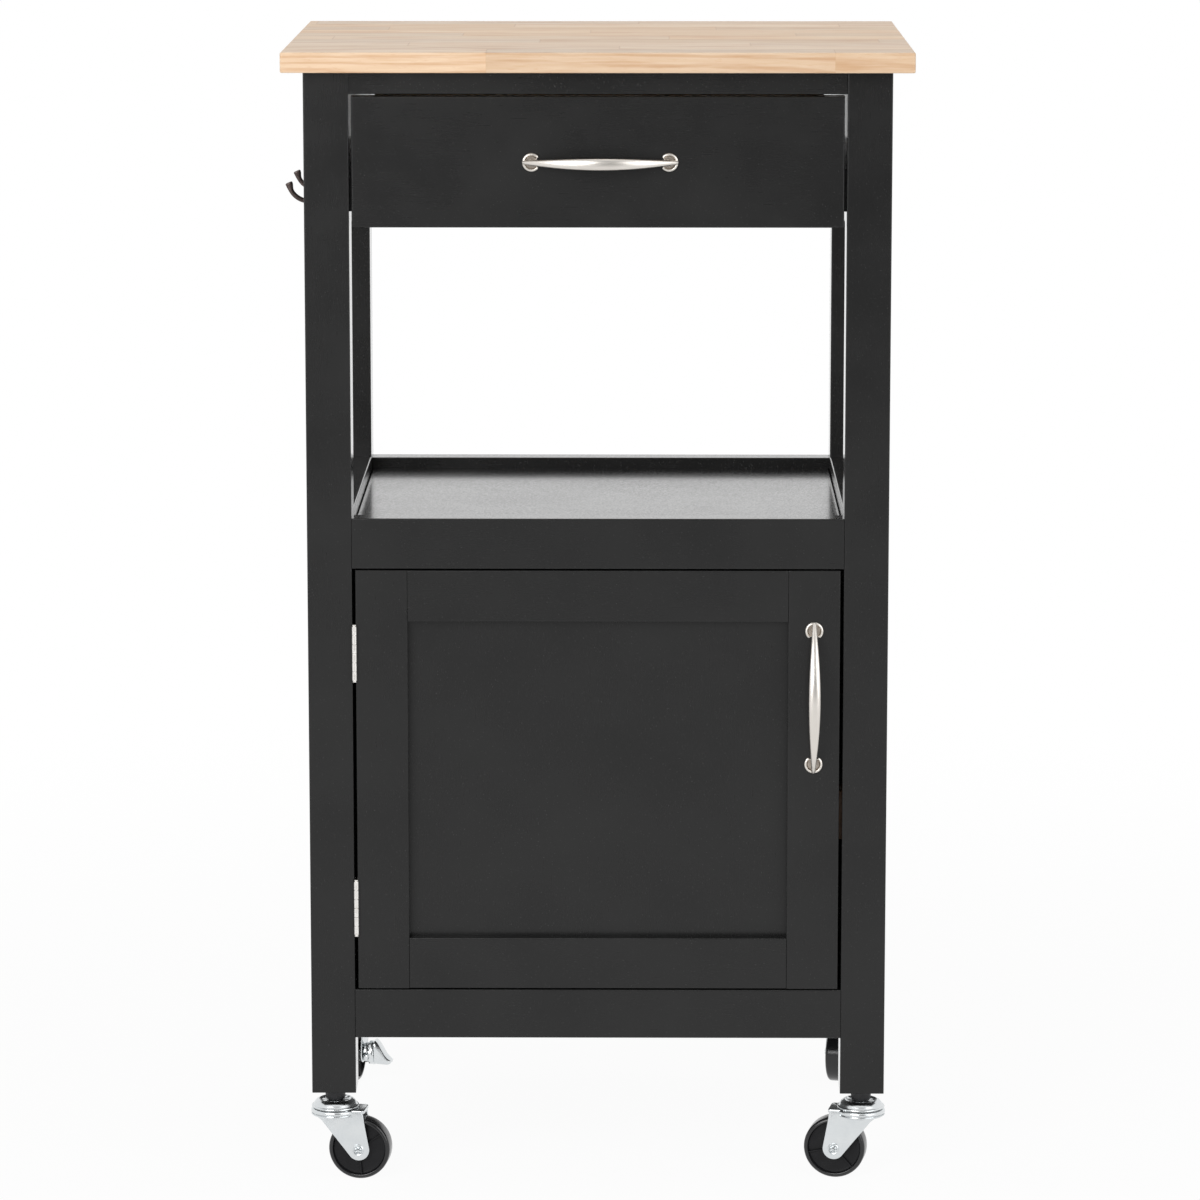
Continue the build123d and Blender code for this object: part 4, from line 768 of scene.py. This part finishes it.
def casterFork(bm, size):
    trail, axleHeight, endRadius = size["trail"], size["axleHeight"], size["armEnd"]
    front, back, top = -size["armFront"], size["armBack"], size["plateTop"] - size["armDrop"]
    touchFront, touchBack = math.radians(size["touchFront"]), math.radians(size["touchBack"])
    for side in (-1, 1):
        before = set(bm.verts)
        start = bm.verts.new((trail + endRadius * math.cos(touchFront),
                              axleHeight + endRadius * math.sin(touchFront), 0))
        arc = bmesh.ops.spin(bm, geom=[start], cent=(trail, axleHeight, 0), axis=(0, 0, 1), dvec=(0, 0, 0),
                             angle=touchBack + math.tau - touchFront, steps=22, use_duplicate=False)
        end = [v for v in arc["geom_last"] if isinstance(v, bmesh.types.BMVert)][0]
        # up the back edge, across under the plate and down the hollow front edge
        upper = [(back + 0.6, size["shoulder"]), (back, top - 2.6), (back - 0.8, top - 0.8), (back - 2.2, top),
                 (front + 1.2, top), (front, top - 1.2)] + offsetFrom(front, 0, size["armHollow"])
        chain = [end] + [bm.verts.new((x, z, 0)) for x, z in upper] + [start]
        for pair in zip(chain, chain[1:]):
            bm.edges.new(pair)
        outline = list({e for v in madeSince(bm, before) for e in v.link_edges})
        thicken(bm, bmesh.ops.contextual_create(bm, geom=outline)["faces"], size["forkOuter"] - size["forkInner"])
        easeRims(bm, madeSince(bm, before), size["edgeRound"], 3)
        # drawn in X and Y, then stood up as X and Z on its own side of the wheel
        stand = Matrix.Translation((0, size["forkInner"], 0)) @ standing
        bmesh.ops.transform(bm, matrix=Matrix.Diagonal((1, side, 1, 1)) @ stand, verts=madeSince(bm, before))
    # the pressed plate, with a skirt turned down round its rim and a groove under the bearing's lower ring
    half, low, top, skirt = size["plate"] / 2, size["plateBase"], size["plateTop"], size["skirtBase"]
    bore, inner = size["pin"] / 2 + 0.05, half - size["skirtWall"]
    groove, floor = size["groove"], half - size["grooveDepth"]
    profile = [(bore, low), (inner - 0.6, low), (inner, low - 0.6), (inner, skirt + 0.3), (inner + 0.3, skirt),
               (half - 0.6, skirt), (half - 0.1, skirt + 0.4), (half - 0.1, skirt + 0.8),
               (half - 0.4, groove - 0.4), (floor, groove - 0.4), (floor, groove + 0.4),
               (half - 0.4, groove + 0.4), (half, groove + 0.8)]
    profile += offsetFrom(half, top, size["plateRim"]) + [(bore, top - 0.6)]
    spinProfile(bm, profile, 72, closed=True)
    # the tab behind the plate closes the two arms
    near, far, side = size["tabStart"], size["tab"], size["forkOuter"]
    roundedSlab(bm, [(near, -side), (far, -side), (far, side), (near, side)], top - low - 0.1, 0.5,
                {1: 2.2, 2: 2.2}, Matrix.Translation((0, 0, low)))


def casterStem(bm, size):
    rim, crown, stem = size["capRim"] / 2, size["capCrown"] / 2, size["stem"] / 2
    low, top, stemTop = size["capBase"], size["capTop"], size["stemTop"]
    pin, head, headBase, headTop = size["pin"] / 2, size["pinHead"] / 2, size["pinHeadBase"], size["pinHeadTop"]
    profile = [(0, headBase), (head - 1, headBase), (head, headBase + 1), (head, headTop), (pin, headTop),
               (pin, low)]
    profile += offsetFrom(rim, low, size["capSide"]) + offsetFrom(crown, top, size["crownShape"])
    profile += [(stem + 0.6, top - 1.1), (stem, top - 0.6), (stem, stemTop - 1), (stem - 1, stemTop), (0, stemTop)]
    # shallow dents pressed round the crown
    for v in spinProfile(bm, profile, 72):
        away = math.hypot(v.co.x, v.co.y)
        if crown - 3.4 < away < crown - 1.4 and v.co.z > top - 1.4:
            dent = 0.5 + 0.5 * math.cos(size["dents"] * math.atan2(v.co.y, v.co.x))
            v.co.z -= size["dentDepth"] * dent


def casterWheel(bm, size, ribAngle):
    half, outer, rim = size["wheelWidth"] / 2, size["wheelRadius"], size["wheelRadius"] - size["rim"]
    web, hub, bore, soft = half - size["web"], size["hub"] / 2, size["axle"] / 2 + 0.05, size["treadRound"]
    upper = [(bore, 0), (bore, half), (hub - 0.5, half), (hub, half - 0.5), (hub, web + 0.9),
             (hub + 0.9, web + 0.3), (rim - 2.4, web), (rim - 0.9, web + 0.3), (rim - 0.2, web + 1.2),
             (rim, half - 0.5), (rim + 0.15, half - 0.15), (rim + 0.5, half)]
    for angle in range(0, 91, 15):
        way = math.radians(angle)
        upper.append((outer - soft + soft * math.sin(way), half - soft + soft * math.cos(way)))
    lower = [(r, -z) for r, z in reversed(upper[1:])]
    spinProfile(bm, upper + [(outer, 0)] + lower, 96, closed=True)
    lift = Matrix.Translation((0, 0, web - size["ribSink"]))
    wide, start, stop = size["ribWidth"] / 2, hub - 1, rim + 1
    for index in range(size["ribs"]):
        turn = Matrix.Rotation(math.radians(ribAngle + 360 / size["ribs"] * index), 4, "Z")
        for face in (Matrix(), halfTurn):
            roundedSlab(bm, [(start, -wide), (stop, -wide), (stop, wide), (start, wide)], size["ribHeight"], 0.2,
                        None, turn @ face @ lift)
    for face in bm.faces:
        spot = face.calc_center_median()
        if hub < math.hypot(spot.x, spot.y) < rim and abs(spot.z) < half - 0.5:
            face.material_index = 1
    bmesh.ops.transform(bm, matrix=toAxle(size) @ alongAxle, verts=bm.verts)


def crimpedHead(bm, size, face, outward):
    # a rivet end spread over the arm, its face pinched in a star
    radius = size["head"] / 2
    made = spinProfile(bm, [(0, 0)] + offsetFrom(radius, 0, size["headShape"]), 48)
    for v in made:
        if 0.1 < math.hypot(v.co.x, v.co.y) < radius - 1.5:
            pinch = max(0.0, math.cos(size["crimps"] * math.atan2(v.co.y, v.co.x))) ** 4
            v.co.z -= size["crimpDepth"] * pinch
    lay = Matrix.Translation((0, face, 0)) @ Matrix.Rotation(math.radians(-90 * outward), 4, "X")
    bmesh.ops.transform(bm, matrix=lay, verts=made)


def casterAxle(bm, size, braked):
    shaftEnd = size["forkOuter"]
    far = brakeSizes["start"] + brakeSizes["hubLength"] if braked else shaftEnd
    radius = size["axle"] / 2
    spinProfile(bm, [(0, -shaftEnd), (radius, -shaftEnd), (radius, far), (0, far)], 40,
                alongAxle @ halfTurn if braked else alongAxle)
    crimpedHead(bm, size, -size["forkOuter"], -1)
    if not braked:
        crimpedHead(bm, size, size["forkOuter"], 1)
    bmesh.ops.transform(bm, matrix=toAxle(size), verts=bm.verts)


def brakeLever(bm, size, brake):
    # turned about the axle: a slotted drum, a thick plate with a wavy edge and a pedal that falls away outwards
    start = brake["start"]
    step = start + brake["hubLength"]
    hub, bore, plate = brake["hub"] / 2, size["axle"] / 2 + 0.05, brake["plate"] / 2
    drum = [(bore, start), (hub - 2.2, start), (hub - 1.0, start + 0.5), (hub, start + 1.6), (hub, step - 1.4),
            (hub - 0.5, step - 0.6), (hub - 0.5, step + 0.2), (bore, step + 0.2)]
    made = spinProfile(bm, drum, 96, closed=True)
    for v in made:
        if math.hypot(v.co.x, v.co.y) > hub - 2.4 and v.co.z < step - 1.2:
            slot = max(0.0, math.cos(size["crimps"] * math.atan2(v.co.y, v.co.x))) ** 6
            v.co.x *= 1 - slot * brake["slotDepth"] / hub
            v.co.y *= 1 - slot * brake["slotDepth"] / hub
    top = step + brake["plateThickness"]
    disc = [(0, step), (plate - 0.9, step), (plate - 0.2, step + 0.3), (plate, step + 1.0), (plate, top - 1.6),
            (plate - 0.5, top - 0.7), (plate - 1.4, top - 0.2), (plate - 2.4, top), (0, top)]
    made += spinProfile(bm, disc, 96)
    for v in made:
        away = math.hypot(v.co.x, v.co.y)
        if away > plate - 1.2 and step - 0.1 < v.co.z < top + 0.1:
            # the edge swings in and out along the axle as it goes round
            swing = math.sin(brake["waves"] * math.atan2(v.co.y, v.co.x)) - 1
            v.co.z += brake["waveDepth"] * swing / 2
    bmesh.ops.transform(bm, matrix=alongY, verts=made)
    length = brake["pedalLength"] + 0.5
    low, high, endHigh = (brake[key] - size["axleHeight"] for key in ("pedalBase", "pedalTop", "pedalEndTop"))
    # cross sections of the pedal from the plate outwards: its upper side falls in a hollow curve to a round nose
    sections = []
    for share in brake["pedalStations"]:
        fall = 0.5 + 0.5 * math.cos(math.pi * min(share * 1.12, 1.0))
        nose = math.sqrt(max(1 - (max(share - 0.72, 0.0) / 0.3) ** 2, 0.02))
        ceiling = endHigh + 0.9 + (high - endHigh - 0.9) * fall ** 0.9
        middle, height = (ceiling + low) / 2 - 0.6 * share, (ceiling - low) * nose
        spot = Matrix.Translation((brake["pedalOffset"], top - 0.5 + share * length, middle))
        width = brake["pedalWidth"] * (0.84 + 0.16 * fall) * (0.55 + 0.45 * nose)
        sections.append(ringAt(bm, spot @ standing, width, height, brake["pedalSquareness"], 36))
    skinBar(bm, sections)
    bmesh.ops.transform(bm, matrix=toAxle(size), verts=bm.verts)


def legSocket(bm, size):
    bore, collar, top = size["stem"] / 2 + 0.05, size["collarBase"] / 2, size["collarTop"] / 2
    low, foot, sleeve, end = size["capTop"], size["legFoot"], size["socket"] / 2, size["socketTop"]
    profile = [(bore, low), (collar - 0.3, low), (collar, low + 0.3), (collar + 0.5, low + 2.5),
               (top - 0.35, foot - 1.3), (top, foot - 0.7), (top, foot - 0.05), (sleeve, foot - 0.05),
               (sleeve, end), (bore, end)]
    spinProfile(bm, profile, 56, closed=True)


def built(shape, *settings):
    bm = bmesh.new()
    shape(bm, *settings)
    return bm


for corner, caster in casterPlaces.items():
    x, y = caster["corner"]
    place = Matrix.Translation((x, y, 0)) @ Matrix.Rotation(math.radians(caster["heading"]), 4, "Z")
    title = "".join(part.capitalize() for part in corner.split("_"))
    body = corner + "_caster"
    fork = built(casterFork, casterSizes)
    finishPiece("fork" + title, fork, zinc, body, (corner + "_fork",), place)
    wheel = built(casterWheel, casterSizes, caster["rib"])
    finishPiece("wheel" + title, wheel, wheelPlastic, corner + "_wheel_body", (corner + "_wheel",),
                place, second=webPlastic)
    axle = built(casterAxle, casterSizes, caster["brake"])
    finishPiece("axle" + title, axle, zinc, body, (corner + "_axle",), place)
    stem = built(casterStem, casterSizes)
    finishPiece("stem" + title, stem, zinc, "cart", (), place)
    socket = built(legSocket, casterSizes)
    finishPiece("socket" + title, socket, nylon, "cart", (), place)
    if caster["brake"]:
        lever = built(brakeLever, casterSizes, brakeSizes)
        finishPiece("brakeLever" + title, lever, zinc, corner + "_brake", (corner + "_brake_lever",), place)
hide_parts("caster_stems")
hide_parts("stem_sockets")
print("casters made")
